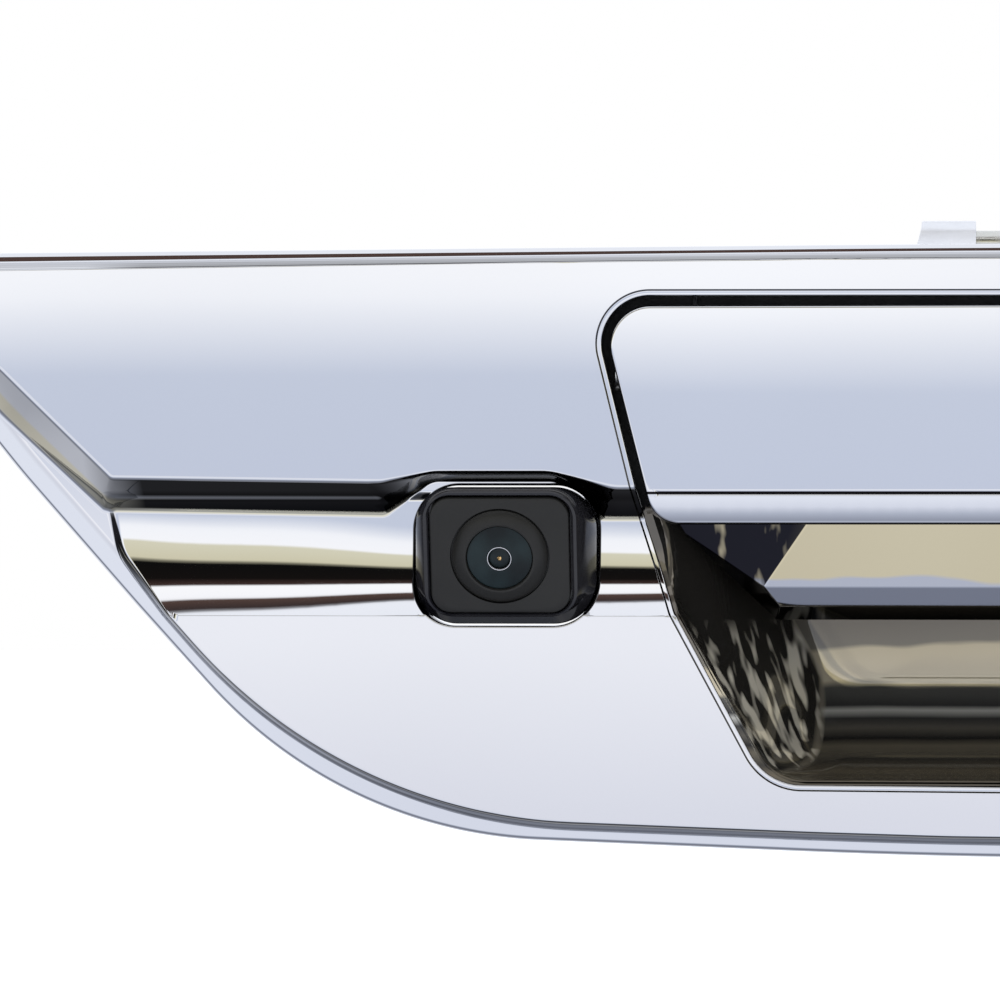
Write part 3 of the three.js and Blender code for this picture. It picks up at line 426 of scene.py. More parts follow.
def skin(name, face, outer, edge, deep, holes, features, loose, material, body):
    """A moulded skin: a front surface with rounded outer and hole edges, walls that run back, and a back
    surface. holes are (outline, edge radius, depth its wall runs back to) and features are (outline, offsets
    of its rows)."""
    walls = [(draw(outer, 2.0), edge, deep, 1)]
    walls += [(draw(hole, 1.2), r, d, -1) for hole, r, d in holes]
    built = [edge_wall(row, face, r, d, way) for row, r, d, way in walls]
    rows = [inner for inner, _, _ in built]
    for corners, offsets in features:
        rows += [draw(inset(corners, d), 2.0, like=corners) for d in offsets]

    def keep(middles):
        inside = depth_in(middles, inset(outer, edge)) > 0
        for hole, r, _ in holes:
            inside &= depth_in(middles, inset(hole, -r)) < 0
        return inside

    flat, faces = triangulate(rows, loose, keep)
    front = np.column_stack([flat[:, 0], -face(flat), flat[:, 1]])
    front_normals = slope_normals(flat, face)
    inwards = np.array([0, WALL, 0])
    verts, normals = [front, front + inwards], [front_normals, -front_normals]
    polygons = [faces, faces + len(front)]
    total = 2 * len(front)
    for (row, *_), (_, rings, ring_normals) in zip(walls, built):
        side = ring_normals[-1]
        lip = np.tile([0.0, 1.0, 0.0], (len(row), 1))
        lining = rings[-1] - side * WALL * 0.8
        verts += rings + [rings[-1], lining, lining, rings[0] + inwards - side * WALL * 0.3]
        normals += ring_normals + [lip, lip, -side, -side]
        polygons.append(strips(len(row), len(rings), total))
        total += len(rings) * len(row)
        polygons.append(strips(len(row), 2, total))
        polygons.append(strips(len(row), 2, total + 2 * len(row)))
        total += 4 * len(row)
    verts, normals = np.concatenate(verts), np.concatenate(normals)
    polygons = [tuple(f) for group in polygons for f in facing_out(verts, group, normals).tolist()]
    return add_object(name, verts, polygons, material, body, normals)


def lathe(profile, name, material, body, segments=96, turn=None, at=None):
    """A body of revolution about an axis along Y, the lens's unless told, from (radius, depth) points."""
    angles = np.linspace(0, 2 * math.pi, segments, endpoint=False)
    verts, faces = [], []
    for r, y in profile:
        verts += [(r * math.cos(a), y, r * math.sin(a)) for a in angles]
    for k in range(len(profile) - 1):
        for i in range(segments):
            j = (i + 1) % segments
            a, b = k * segments, (k + 1) * segments
            faces.append((a + i, a + j, b + j, b + i))
    placed = tilted(np.array(verts)) if turn is None else np.array(verts) @ np.array(turn).T + np.array(at)
    obj = add_object(name, placed, faces, material, body)
    tidy(obj)
    return obj


def tilted(points):
    """From the camera module's own frame, looking along -Y from the origin, to the object's."""
    turn = np.array(Matrix.Rotation(LENS_TILT, 3, "X"))
    return points @ turn.T + np.array(LENS_AT)


def tidy(obj, angle=32):
    """Welds an object's points, turns its faces outwards and keeps its sharp edges sharp."""
    bm = bmesh.new()
    bm.from_mesh(obj.data)
    bmesh.ops.remove_doubles(bm, verts=bm.verts, dist=1e-6)
    bmesh.ops.recalc_face_normals(bm, faces=bm.faces)
    bm.to_mesh(obj.data)
    bm.free()
    obj.data.polygons.foreach_set("use_smooth", [True] * len(obj.data.polygons))
    obj.data.set_sharp_from_angle(angle=math.radians(angle))


def rounded(obj, width, segments=3, angle=32):
    """Rounds an object's sharp edges by width millimetres."""
    bevel = obj.modifiers.new("rounded", "BEVEL")
    bevel.width = width * MM
    bevel.segments = segments
    bevel.limit_method = "ANGLE"
    bevel.angle_limit = math.radians(angle)
    bevel.harden_normals = True
    bevel.use_clamp_overlap = True


def loft(name, rings, material, body):
    """A surface through rings of equal length."""
    count = len(rings[0])
    verts = np.concatenate(rings)
    faces = strips(count, len(rings)).tolist()
    obj = add_object(name, verts, faces, material, body)
    tidy(obj)
    return obj


def redrawn(node, material, width=0.15, sharp=34, behind=None):
    """A CAD node drawn again, with its flat facets joined and its sharp edges rounded, or only what is behind
    a y."""
    source = frame["nodes"][node]
    mesh = source.data.copy()
    mesh.name = "fine_" + node
    mesh.materials.clear()
    mesh.materials.append(material)
    obj = bpy.data.objects.new("fine_" + node, mesh)
    bpy.context.scene.collection.objects.link(obj)
    bm = bmesh.new()
    bm.from_mesh(mesh)
    bmesh.ops.remove_doubles(bm, verts=bm.verts, dist=2e-6)
    bmesh.ops.dissolve_limit(bm, angle_limit=math.radians(1.0), verts=bm.verts, edges=bm.edges)
    if behind is not None:
        everything = bm.verts[:] + bm.edges[:] + bm.faces[:]
        cut = {"plane_co": (0, behind * MM, 0), "plane_no": (0, -1, 0), "clear_outer": True}
        bmesh.ops.bisect_plane(bm, geom=everything, **cut)
    bm.to_mesh(mesh)
    bm.free()
    if "custom_normal" in mesh.attributes:
        mesh.attributes.remove(mesh.attributes["custom_normal"])
    mesh.polygons.foreach_set("use_smooth", [True] * len(mesh.polygons))
    mesh.set_sharp_from_angle(angle=math.radians(sharp))
    rounded(obj, width, 3, sharp + 2)
    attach(obj, source["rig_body"])
    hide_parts(node)
    return obj


SLOTS = {s["node"]: s["material_slot"] for s in frame["record"]["subparts"]}

# ---------------------------------------------------------------------------------------------------------
# Materials
# ---------------------------------------------------------------------------------------------------------


class Surface:
    """A principled material whose detail is built from procedural nodes in object space."""

    def __init__(self, name, **sockets):
        self.material = bpy.data.materials.new(name)
        self.material.use_nodes = True
        self.nodes = self.material.node_tree.nodes
        self.links = self.material.node_tree.links
        self.shader = self.nodes["Principled BSDF"]
        self.coords = self.nodes.new("ShaderNodeTexCoord")
        self.place = self.coords.outputs["Object"]
        self.bumped = None
        self.shader.inputs["Specular IOR Level"].default_value = 0.35
        for socket, value in sockets.items():
            self.shader.inputs[socket.replace("_", " ")].default_value = value

    def noise(self, scale, detail=4.0, stretch=(1, 1, 1), roughness=0.55, lean=0.0):
        mapping = self.nodes.new("ShaderNodeMapping")
        mapping.inputs["Scale"].default_value = stretch
        mapping.inputs["Rotation"].default_value = (0, lean, 0)
        noise = self.nodes.new("ShaderNodeTexNoise")
        noise.inputs["Scale"].default_value = scale
        noise.inputs["Detail"].default_value = detail
        noise.inputs["Roughness"].default_value = roughness
        self.links.new(self.place, mapping.inputs["Vector"])
        self.links.new(mapping.outputs["Vector"], noise.inputs["Vector"])
        return noise.outputs["Fac"]

    def cells(self, scale, feature="F1"):
        cells = self.nodes.new("ShaderNodeTexVoronoi")
        cells.feature = feature
        cells.inputs["Scale"].default_value = scale
        self.links.new(self.place, cells.inputs["Vector"])
        return cells.outputs["Distance"]

    def spread(self, value, low, high, to_low, to_high):
        spread = self.nodes.new("ShaderNodeMapRange")
        for socket, number in zip(("From Min", "From Max", "To Min", "To Max"), (low, high, to_low, to_high)):
            spread.inputs[socket].default_value = number
        self.links.new(value, spread.inputs["Value"])
        return spread.outputs["Result"]

    def split(self, vector):
        split = self.nodes.new("ShaderNodeSeparateXYZ")
        self.links.new(vector, split.inputs["Vector"])
        return split.outputs

    def math(self, operation, first, second=0.0):
        node = self.nodes.new("ShaderNodeMath")
        node.operation = operation
        for socket, value in zip(node.inputs, (first, second)):
            if isinstance(value, (int, float)):
                socket.default_value = value
            else:
                self.links.new(value, socket)
        return node.outputs["Value"]

    def product(self, first, second):
        return self.math("MULTIPLY", first, second)

    def sum(self, first, second):
        return self.math("ADD", first, second)

    def difference(self, first, second):
        return self.math("SUBTRACT", first, second)

    def size(self, value):
        return self.math("ABSOLUTE", value)

    def mix(self, share, colour):
        """Mixes a colour, or a colour socket, into the base colour."""
        mix = self.nodes.new("ShaderNodeMix")
        mix.data_type = "RGBA"
        base = self.shader.inputs["Base Color"].links[0].from_socket
        socket = {i.identifier: i for i in mix.inputs}
        self.links.new(share, socket["Factor_Float"])
        self.links.new(base, socket["A_Color"])
        if isinstance(colour, tuple):
            socket["B_Color"].default_value = (*colour, 1)
        else:
            self.links.new(colour, socket["B_Color"])
        self.drive("Base Color", {o.identifier: o for o in mix.outputs}["Result_Color"])

    def drive(self, socket, value):
        self.links.new(value, self.shader.inputs[socket])

    def tint(self, value, first, second, low=0.35, high=0.65):
        ramp = self.nodes.new("ShaderNodeValToRGB")
        ramp.color_ramp.elements[0].position = low
        ramp.color_ramp.elements[0].color = (*first, 1)
        ramp.color_ramp.elements[1].position = high
        ramp.color_ramp.elements[1].color = (*second, 1)
        self.links.new(value, ramp.inputs["Fac"])
        self.drive("Base Color", ramp.outputs["Color"])

    def bump(self, value, strength, distance):
        bump = self.nodes.new("ShaderNodeBump")
        bump.inputs["Strength"].default_value = strength
        bump.inputs["Distance"].default_value = distance * MM
        self.links.new(value, bump.inputs["Height"])
        if self.bumped:
            self.links.new(self.bumped, bump.inputs["Normal"])
        self.bumped = bump.outputs["Normal"]
        self.drive("Normal", self.bumped)


def chrome(name, bright, deep, waviness):
    """Chrome plating, faintly wavy, filmed and specked."""
    surface = Surface(name, Metallic=1.0, Roughness=0.04)
    surface.tint(surface.noise(6, 2), deep, bright)
    film = surface.noise(40, 5, roughness=0.7)
    surface.drive("Roughness", surface.spread(film, 0.3, 0.75, 0.02, 0.055))
    surface.bump(surface.noise(14, 2), 0.25, waviness)
    specks = surface.spread(surface.cells(700), 0.0, 0.05, 1.0, 0.0)
    surface.bump(specks, 0.03, 0.02)
    return surface


def shaded_chrome(name):
    """Chrome with painted shade on the walls of its steps, lighter painted shade on the wings, and a painted
    cream reflection at the walls' feet.
    """
    surface = chrome(name, (0.60, 0.605, 0.62), (0.57, 0.575, 0.59), 0.012)
    facing, place = (surface.split(surface.coords.outputs[kind]) for kind in ("Normal", "Object"))
    leaning = surface.spread(facing["Z"], -0.10, -0.3, 0, 1)
    # painted cream reflection on downward-leaning faces at the foot of the steps
    painted_cream_reflection = surface.product(leaning, surface.spread(place["Y"], -0.0118, -0.011, 0, 1))
    raised = surface.spread(place["Y"], -0.0079, -0.0086, 0, 1)
    inboard = surface.spread(surface.size(place["X"]), 0.2, 0.188, 0.35, 1)
    patches = surface.spread(surface.noise(70, 3, (1, 1, 0.4)), 0.45, 0.6, 0.0, 0.02)
    # painted shade on raised step walls that turn away from the front, only 0.35 as strong beyond 0.2 m out
    # on the wings
    painted_step_shade = surface.product(surface.spread(facing["Y"], -0.72, -0.63, 0, 1), surface.product(raised, inboard))
    surface.mix(surface.product(painted_cream_reflection, raised), (0.60, 0.56, 0.43))
    surface.mix(painted_step_shade, (0.003, 0.0025, 0.0025))
    surface.bump(patches, 0.2, 0.1)
    return surface


def flap_chrome():
    """The shaded chrome with a painted shade line along the crease near the flap's lower edge."""
    surface = shaded_chrome("flap_chrome")
    height = surface.split(surface.place)["Z"]
    off = surface.size(surface.difference(height, CREASE * MM))
    # painted shade along the crease
    surface.mix(surface.spread(off, 0.20 * MM, 0.34 * MM, 1, 0), (0.004, 0.004, 0.005))
    return surface.material


def grip_chrome():
    """Chrome with painted reflections: a golden tint in front and a blue-grey band low down; painted dark
    reflection, streaky, on the flanks; painted shade underneath.
    """
    # the golden tint is a painted reflection
    surface = chrome("grip_chrome", (0.62, 0.55, 0.37), (0.52, 0.45, 0.29), 0.02)
    facing, place = (surface.split(surface.coords.outputs[kind]) for kind in ("Normal", "Object"))
    wander = surface.spread(surface.noise(45, 3, (0.4, 1, 1)), 0.3, 0.7, -0.0022, 0.0022)
    height = surface.sum(place["Z"], wander)
    # painted blue-grey reflection band below about 54 mm, with a wavy top
    surface.mix(surface.spread(height, 0.0545, 0.0538, 0, 1), (0.42, 0.43, 0.46))
    # painted dark reflection on the flanks, broken by lighter streaky marks
    painted_reflection_streaks = surface.spread(surface.noise(160, 3, (1, 1, 0.12)), 0.56, 0.68, 1.0, 0.25)
    flank = surface.spread(surface.size(facing["X"]), 0.10, 0.16, 0, 1)
    surface.mix(surface.product(flank, painted_reflection_streaks), (0.012, 0.012, 0.016))
    # painted shade underneath, where the faces turn away from the front
    surface.mix(surface.spread(facing["Y"], -0.62, -0.5, 0, 1), (0.01, 0.01, 0.012))
    return surface.material


# The painted reflection bands on the pocket's back wall, from its foot up: height in millimetres and colour.
POCKET_REFLECTION_BANDS = [
    (12, (0.05, 0.045, 0.035)),
    (15, (0.10, 0.085, 0.06)),
    (17, (0.03, 0.028, 0.024)),
    (19.5, (0.09, 0.08, 0.06)),
    (21, (0.012, 0.012, 0.012)),
    (23, (0.07, 0.065, 0.055)),
    (25, (0.03, 0.03, 0.03)),
    (26.6, (0.32, 0.32, 0.30)),
    (27.6, (0.03, 0.03, 0.03)),
    (30.5, (0.07, 0.07, 0.065)),
    (31.4, (0.40, 0.36, 0.27)),
    (37, (0.36, 0.32, 0.23)),
    (38, (0.14, 0.13, 0.11)),
    (47, (0.11, 0.10, 0.085)),
]


def pocket_chrome():
    """Chrome deep in the pocket, all its colour painted reflection: a tan tint, level bands across its back,
    and dark flanks with a fan of bright streaky highlights.
    """
    # the tan tint is a painted reflection
    surface = chrome("pocket_chrome", (0.52, 0.47, 0.38), (0.40, 0.36, 0.28), 0.3)
    surface.shader.inputs["Metallic"].default_value = 0.5
    facing, place = (surface.split(surface.coords.outputs[kind]) for kind in ("Normal", "Object"))
    wander = surface.spread(surface.noise(16, 3, (1, 1, 2)), 0.3, 0.7, -0.0022, 0.0022)
    rise = surface.spread(surface.size(place["X"]), 0.062, 0.0, 0.0, 0.004)
    upper = surface.spread(place["Z"], 0.030, 0.036, 0.15, 1)
    height = surface.sum(place["Z"], surface.product(surface.difference(wander, rise), upper))
    low, high = POCKET_REFLECTION_BANDS[0][0], POCKET_REFLECTION_BANDS[-1][0]
    bands = surface.nodes.new("ShaderNodeValToRGB")
    stops = bands.color_ramp.elements
    for z, colour in POCKET_REFLECTION_BANDS[1:-1]:
        stops.new((z - low) / (high - low)).color = (*colour, 1)
    stops[0].color = (*POCKET_REFLECTION_BANDS[0][1], 1)
    stops[-1].color = (*POCKET_REFLECTION_BANDS[-1][1], 1)
    surface.links.new(surface.spread(height, low * MM, high * MM, 0, 1), bands.inputs["Fac"])
    back = surface.spread(surface.size(facing["X"]), 0.55, 0.40, 0, 1)
    # painted reflection bands across the back wall
    surface.mix(back, bands.outputs["Color"])
    flank = surface.spread(surface.size(facing["X"]), 0.40, 0.55, 0, 1)
    # painted dark reflection on the flanks
    surface.mix(flank, (0.02, 0.019, 0.017))
    low_down = surface.spread(place["Z"], 0.046, 0.040, 0, 1)
    painted_reflection_streaks = surface.spread(surface.noise(300, 1, (1.0, 1.0, 0.05), lean=0.3), 0.50, 0.62, 0, 1)
    # painted bright highlights fanning across the flanks, low down
    surface.mix(surface.product(flank, surface.product(painted_reflection_streaks, low_down)), (0.62, 0.59, 0.50))
    return surface.material


def moulded(name, base, lighter, roughness, grain, **sockets):
    """Grained plastic or rubber."""
    surface = Surface(name, **sockets)
    surface.tint(surface.noise(30, 4), base, lighter)
    blotches = surface.noise(180, 4)
    surface.drive("Roughness", surface.spread(blotches, 0.3, 0.7, roughness - 0.06, roughness + 0.06))
    surface.bump(surface.noise(2600, 3), 0.35, grain)
    surface.bump(surface.noise(90, 3), 0.15, 0.1)
    return surface.material


def plated(name, base, lighter, roughness, stretch=(1, 1, 1)):
    """Zinc-plated or cast metal, blotchy and faintly drawn along one axis."""
    surface = Surface(name, Metallic=1.0)
    surface.tint(surface.noise(60, 5, roughness=0.7), base, lighter)
    blotches = surface.noise(240, 4)
    surface.drive("Roughness", surface.spread(blotches, 0.3, 0.7, roughness - 0.08, roughness + 0.1))
    surface.bump(surface.noise(900, 3, stretch), 0.2, 0.03)
    return surface.material


def circuit_board():
    surface = Surface("circuit_board", Roughness=0.35)
    tracks = surface.nodes.new("ShaderNodeTexBrick")
    tracks.inputs["Scale"].default_value = 420
    tracks.inputs["Mortar Size"].default_value = 0.04
    tracks.inputs["Color1"].default_value = (0.01, 0.13, 0.05, 1)
    tracks.inputs["Color2"].default_value = (0.015, 0.17, 0.06, 1)
    tracks.inputs["Mortar"].default_value = (0.05, 0.30, 0.11, 1)
    surface.links.new(surface.place, tracks.inputs["Vector"])
    surface.drive("Base Color", tracks.outputs["Color"])
    surface.bump(tracks.outputs["Fac"], 0.3, 0.03)
    surface.bump(surface.noise(1500, 3), 0.1, 0.02)
    return surface.material


def coated_glass(name, colour, film):
    """Dark optical glass with a coloured coating that varies a little."""
    surface = Surface(name, Roughness=0.02, IOR=1.25, Coat_Weight=0.05, Coat_IOR=1.7)
    surface.tint(surface.noise(120, 2), colour, film)
    surface.drive("Roughness", surface.spread(surface.noise(300, 3), 0.3, 0.7, 0.01, 0.05))
    surface.shader.inputs["Coat Tint"].default_value = (0.75, 0.9, 1.0, 1)
    return surface.material


CHROME = chrome("chrome_plating", (0.60, 0.605, 0.62), (0.57, 0.575, 0.59), 0.012).material
SHADED_CHROME = shaded_chrome("shaded_chrome").material
FLAP_CHROME = flap_chrome()
GRIP_CHROME = grip_chrome()
POCKET_CHROME = pocket_chrome()
MATERIALS = {
    "chrome_plated_abs": CHROME,
    "black_nylon": moulded("black_nylon", (0.018, 0.018, 0.02), (0.03, 0.03, 0.032), 0.55, 0.05),
    "white_acetal": moulded("white_acetal", (0.70, 0.68, 0.61), (0.78, 0.76, 0.70), 0.42, 0.02),
    "rubber": moulded("seal_rubber", (0.012, 0.012, 0.012), (0.03, 0.03, 0.03), 0.85, 0.12),
    "plated_steel": plated("zinc_plated_steel", (0.48, 0.48, 0.45), (0.62, 0.62, 0.60), 0.28),
    "spring_steel": plated("spring_wire", (0.22, 0.22, 0.23), (0.36, 0.36, 0.37), 0.3, (1, 8, 8)),
    "zinc_die_cast": plated("zinc_casting", (0.60, 0.61, 0.63), (0.74, 0.75, 0.77), 0.36),
    "gloss_black": moulded("gloss_black", (0.006, 0.006, 0.008), (0.012, 0.012, 0.014), 0.12, 0.004),
    "satin_black": moulded(
        "satin_black", (0.008, 0.008, 0.0078), (0.011, 0.011, 0.0105), 0.36, 0.015, Specular_IOR_Level=0.22
    ),
    "bright_ring": plated("bright_ring", (0.42, 0.42, 0.43), (0.52, 0.52, 0.53), 0.18),
    "lens_glass": coated_glass("lens_glass", (0.004, 0.006, 0.007), (0.008, 0.014, 0.016)),
    "circuit_board": circuit_board(),
    "sensor_chip": coated_glass("sensor_chip", (0.02, 0.02, 0.04), (0.05, 0.03, 0.06)),
}

# ---------------------------------------------------------------------------------------------------------
# Camera
# ---------------------------------------------------------------------------------------------------------


FACE = rectangle(0, 0, 27.8, 24.0, 4.0)


def module_ring(w, h, r, depth, x=0.0, z=0.0):
    flat = draw(rectangle(x, z, w, h, r), 1.0, 6, FACE)
    return tilted(np.column_stack([flat[:, 0], np.full(len(flat), depth), flat[:, 1]]))


def upright_ring(x, z, w, h, r, y):
    flat = draw(rectangle(x, z, w, h, r), 1.0, 6, FACE)
    return np.column_stack([flat[:, 0], np.full(len(flat), y), flat[:, 1]])


def build_camera():
    sx, sz, w, h, r = SHROUD
    shroud = loft(
        "shroud",
        [
            upright_ring(sx, sz, w, h, r, -4.2),
            upright_ring(sx, sz, w, h, r, -11.2),
            upright_ring(sx, sz, w - 0.3, h - 0.3, r, -12.4),
            module_ring(33.8, 27.0, 7.2, 3.2, 0.1, -0.1),
            module_ring(31.6, 26.4, 6.2, 1.4),
            module_ring(30.6, 26.0, 5.6, 0.85),
            module_ring(29.4, 25.2, 4.9, 0.7),
            module_ring(28.5, 24.7, 4.3, 0.95),
            module_ring(28.3, 24.5, 4.2, 2.9),
            module_ring(24.0, 20.0, 3.0, 2.9),
            module_ring(24.0, 20.0, 3.0, 4.6),
        ],
        MATERIALS["gloss_black"],
        "housing",
    )
    redrawn("camera_shroud", MATERIALS["gloss_black"], 0.2, behind=-4.3)

    face = loft(
        "camera_front",
        [
            module_ring(27.8, 24.0, 4.0, 2.6),
            module_ring(27.8, 24.0, 4.0, 0.5),
            module_ring(27.5, 23.7, 3.85, 0.15),
            module_ring(27.0, 23.2, 3.6, 0.0),
            *(face_to_ring(t) for t in (0.25, 0.6, 0.85, 1.0)),
            lens_ring(9.9, 0.9),
            lens_ring(7.4, 0.9),
            lens_ring(7.4, 2.6),
        ],
        MATERIALS["satin_black"],
        "housing",
    )
    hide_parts("camera_face")

    barrel = lathe(
        [
            (9.55, 0.6), (9.55, 0.05), (9.35, -0.2), (8.6, -0.75), (7.6, -1.3), (7.1, -1.5), (6.75, -1.42),
            (6.6, -1.15), (6.5, 0.2), (5.9, 0.5), (5.9, 0.85), (5.2, 1.1), (5.2, 1.35), (4.4, 1.6),
            (4.4, 1.85),
            (3.6, 2.05), (2.75, 2.15), (2.6, 2.9), (2.6, 4.2), (7.1, 4.2), (7.1, 0.6), (9.55, 0.6),
        ],
        "barrel",
        MATERIALS["satin_black"],
        "housing",
    )
    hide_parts("lens_barrel", "lens_baffle")
    window = lathe(
        [(2.55, -1.62), (4.4, -1.34), (5.6, -1.1), (6.45, -0.9), (6.45, -0.6), (2.55, -0.9), (2.55, -1.62)],
        "front_glass",
        MATERIALS["lens_glass"],
        "housing",
    )
    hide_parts("front_lens")
    ring = lathe(
        [(2.5, -0.5), (2.5, -1.55), (2.42, -1.65), (2.3, -1.65), (2.2, -1.5), (2.2, -0.5), (2.5, -0.5)],
        "trim_ring",
        MATERIALS["bright_ring"],
        "housing",
    )
    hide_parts("lens_trim_ring")
    bead = [(2.15 * math.sin(a), -0.8 - 0.5 * math.cos(a)) for a in np.linspace(0.1, 1.57, 14)]
    profile = [(0.001, -1.3)] + bead + [(2.1, 3.2), (0.001, 3.2)]
    inner = lathe(profile, "inner_glass", MATERIALS["lens_glass"], "housing")
    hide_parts("inner_lens")
    # a golden disc at the lens's centre, a painted glint
    glint = lathe([(0.001, -1.36), (0.4, -1.33), (0.55, -1.2), (0.55, -0.9)], "glint", painted_glint_gold(), "housing", 24)


def lens_ring(radius, depth):
    """A circle on the lens axis with as many points as a module ring, starting at the same corner."""
    like = draw(FACE, 1.0, 6)
    angle = np.arctan2(like[:, 1], like[:, 0])
    flat = np.column_stack([radius * np.cos(angle), np.full(len(like), depth), radius * np.sin(angle)])
    return tilted(flat)


def face_to_ring(t):
    """A ring on the flat front, t of the way from its rim to the groove round the lens."""
    rim = draw(rectangle(0, 0, 27.0, 23.2, 3.6), 1.0, 6, FACE)
    angle = np.arctan2(rim[:, 1], rim[:, 0])
    circle = 9.95 * np.column_stack([np.cos(angle), np.sin(angle)])
    flat = rim + (circle - rim) * t
    return tilted(np.column_stack([flat[:, 0], np.zeros(len(flat)), flat[:, 1]]))


# A golden metal disc that stands in for the glint off the lens's inner coating: a painted glint.
def painted_glint_gold():
    surface = Surface("painted_glint", Metallic=1.0)
    surface.tint(surface.noise(2500, 2), (0.05, 0.03, 0.01), (0.75, 0.5, 0.22), 0.45, 0.6)
    surface.drive("Roughness", surface.spread(surface.noise(900, 2), 0.3, 0.7, 0.15, 0.3))
    return surface.material


build_camera()

# ---------------------------------------------------------------------------------------------------------
# Garnish and flap
# ---------------------------------------------------------------------------------------------------------


def grid(rows, columns):
    return [(x, z) for z in rows for x in columns]


def garnish():
    fields = grid(np.arange(2, 121, 4.0), np.arange(-244, 245, 5.0))
    hollow = grid(np.arange(48.5, 68, 0.9), np.arange(-240, 241, 3.0))
    edge = grid(CHANNEL_LOW + np.array([-0.6, -0.25, -0.1, 0, 0.1, 0.25, 0.6]), np.arange(-188, 189, 1.5))
    inside = np.array(fields + hollow + edge)
    inside = inside[depth_in(inside, inset(SILHOUETTE, 2.0)) > 0]
    features = [
        (inset(SILHOUETTE, 4.2), (-0.8, -0.3, 0.3, 0.8, 1.0)),
        (LOW_EDGE, (-2.1, -1.9, -1.5, -1.1, -0.45, -0.2, 0.0, 0.2, 0.45, 0.65, 1.2)),
        (TOP_EDGE, (-0.55, -0.25, 0.0, 0.25, 0.55, 0.75, 1.3)),
        (TOP_FOOT, (-0.9, -0.7, -0.35, 0.0, 0.35, 0.7)),
        (OPENING, (0.0, -0.45, -0.52, -0.6, -0.68, -0.76, -0.82, -1.0, -1.6)),
    ]
    holes = [(inset(OPENING, 0.45), 0.35, 6.0), (SHROUD_HOLE, 0.55, 6.0)]
    shape = (garnish_face, SILHOUETTE, 0.9, 1.5, holes, features, inside)
    obj = skin("garnish_skin", *shape, SHADED_CHROME, "housing")
    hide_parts("garnish")
    for x, z, radius, end in TOWERS:
        for side in (-1, 1):
            start = 1.0 - float(garnish_face(np.array([[side * x, z]]))[0])
            profile = [(radius, start), (radius, end - 0.4), (radius - 0.4, end), (radius * 0.5, end)]
            profile += [(radius * 0.5, end - 5), (0.001, end - 5)]
            at = Vector((side * x, 0, z))
            tower = lathe(profile, "tower", CHROME, "housing", 32, Matrix.Identity(3), at)


def flap():
    inside = grid(np.arange(67, 108, 2.5), np.arange(-92, 93, 4.0))
    inside += grid(CREASE + np.arange(-0.8, 0.81, 0.1), np.arange(-86, 87, 2.0))
    inside += grid((65.9, 66.2, 66.6), np.arange(-82, 83, 2.0))
    inside = np.array(inside)
    inside = inside[depth_in(inside, inset(FLAP, 1.0)) > 0]
    features = [(FLAP, (0.8, 1.4))]
    obj = skin("flap_skin", flap_face, FLAP, 0.6, 12.3, [], features, inside, FLAP_CHROME, "paddle")
    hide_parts("paddle_flap")


def pocket():
    """The pocket's lining: smooth rings through its sections, trimmed just behind the garnish's face."""
    rings = []
    for y, bottom, low, mid, top, r in POCKET_SECTIONS:
        corners = mirrored([(low, bottom, r), (mid, 47.5, 6), (top, POCKET_TOP, 1)])
        if not rings:
            like = corners
        flat = draw(inset(corners, 0.6), 2.0, like=inset(like, 0.6))
        rings.append(np.column_stack([flat[:, 0], np.full(len(flat), y - 0.6), flat[:, 1]]))
    count = len(rings[0])
    centre = rings[-1].mean(0)
    last = rings[-1]
    rings.append(centre + (last - centre) * [0.86, 1, 0.86])
    rings.insert(0, 2 * rings[0] - rings[1])
    rings.append(centre + (last - centre) * [0.6, 1, 0.6])
    fine = []
    for k in range(1, len(rings) - 2):
        before, a, b, after = rings[k - 1 : k + 3]
        for t in np.arange(0, 1, 0.125):
            spline = 2 * a + (b - before) * t + (2 * before - 5 * a + 4 * b - after) * t * t
            fine.append(0.5 * (spline + (3 * a - before - 3 * b + after) * t**3))
    fine += [rings[-1], np.tile(centre, (count, 1))]
    mouth = np.array([-garnish_face(ring[:, [0, 2]]) for ring in fine]) + 1.3
    verts = np.array(fine)
    verts[..., 1] = np.maximum(verts[..., 1], np.minimum(mouth, -4))
    faces = strips(count, len(fine))
    flat = verts.reshape(-1, 3)
    faces = faces[flat[faces][..., 2].mean(1) < POCKET_TOP - 1.2]
    obj = add_object("pocket_lining", flat, faces.tolist(), POCKET_CHROME, "housing")
    tidy(obj, 60)


garnish()
flap()
pocket()

# ---------------------------------------------------------------------------------------------------------
# Everything else as it is in the CAD part
# ---------------------------------------------------------------------------------------------------------
REBUILT = {
    "garnish", "paddle_flap", "camera_shroud", "camera_face", "lens_barrel", "lens_baffle", "front_lens",
    "lens_trim_ring", "inner_lens",
}
redrawn("paddle_grip", GRIP_CHROME, 0.9, 8)
redrawn("pocket_bowl", POCKET_CHROME)
for node in sorted(set(frame["nodes"]) - REBUILT - {"paddle_grip", "pocket_bowl"}):
    redrawn(node, MATERIALS[SLOTS[node]])

# ---------------------------------------------------------------------------------------------------------
# Studio
# ---------------------------------------------------------------------------------------------------------


def srgb(r, g, b):
    def linear(c):
        c /= 255
        return c / 12.92 if c <= 0.04045 else ((c + 0.055) / 1.055) ** 2.4

    return linear(r), linear(g), linear(b), 1.0


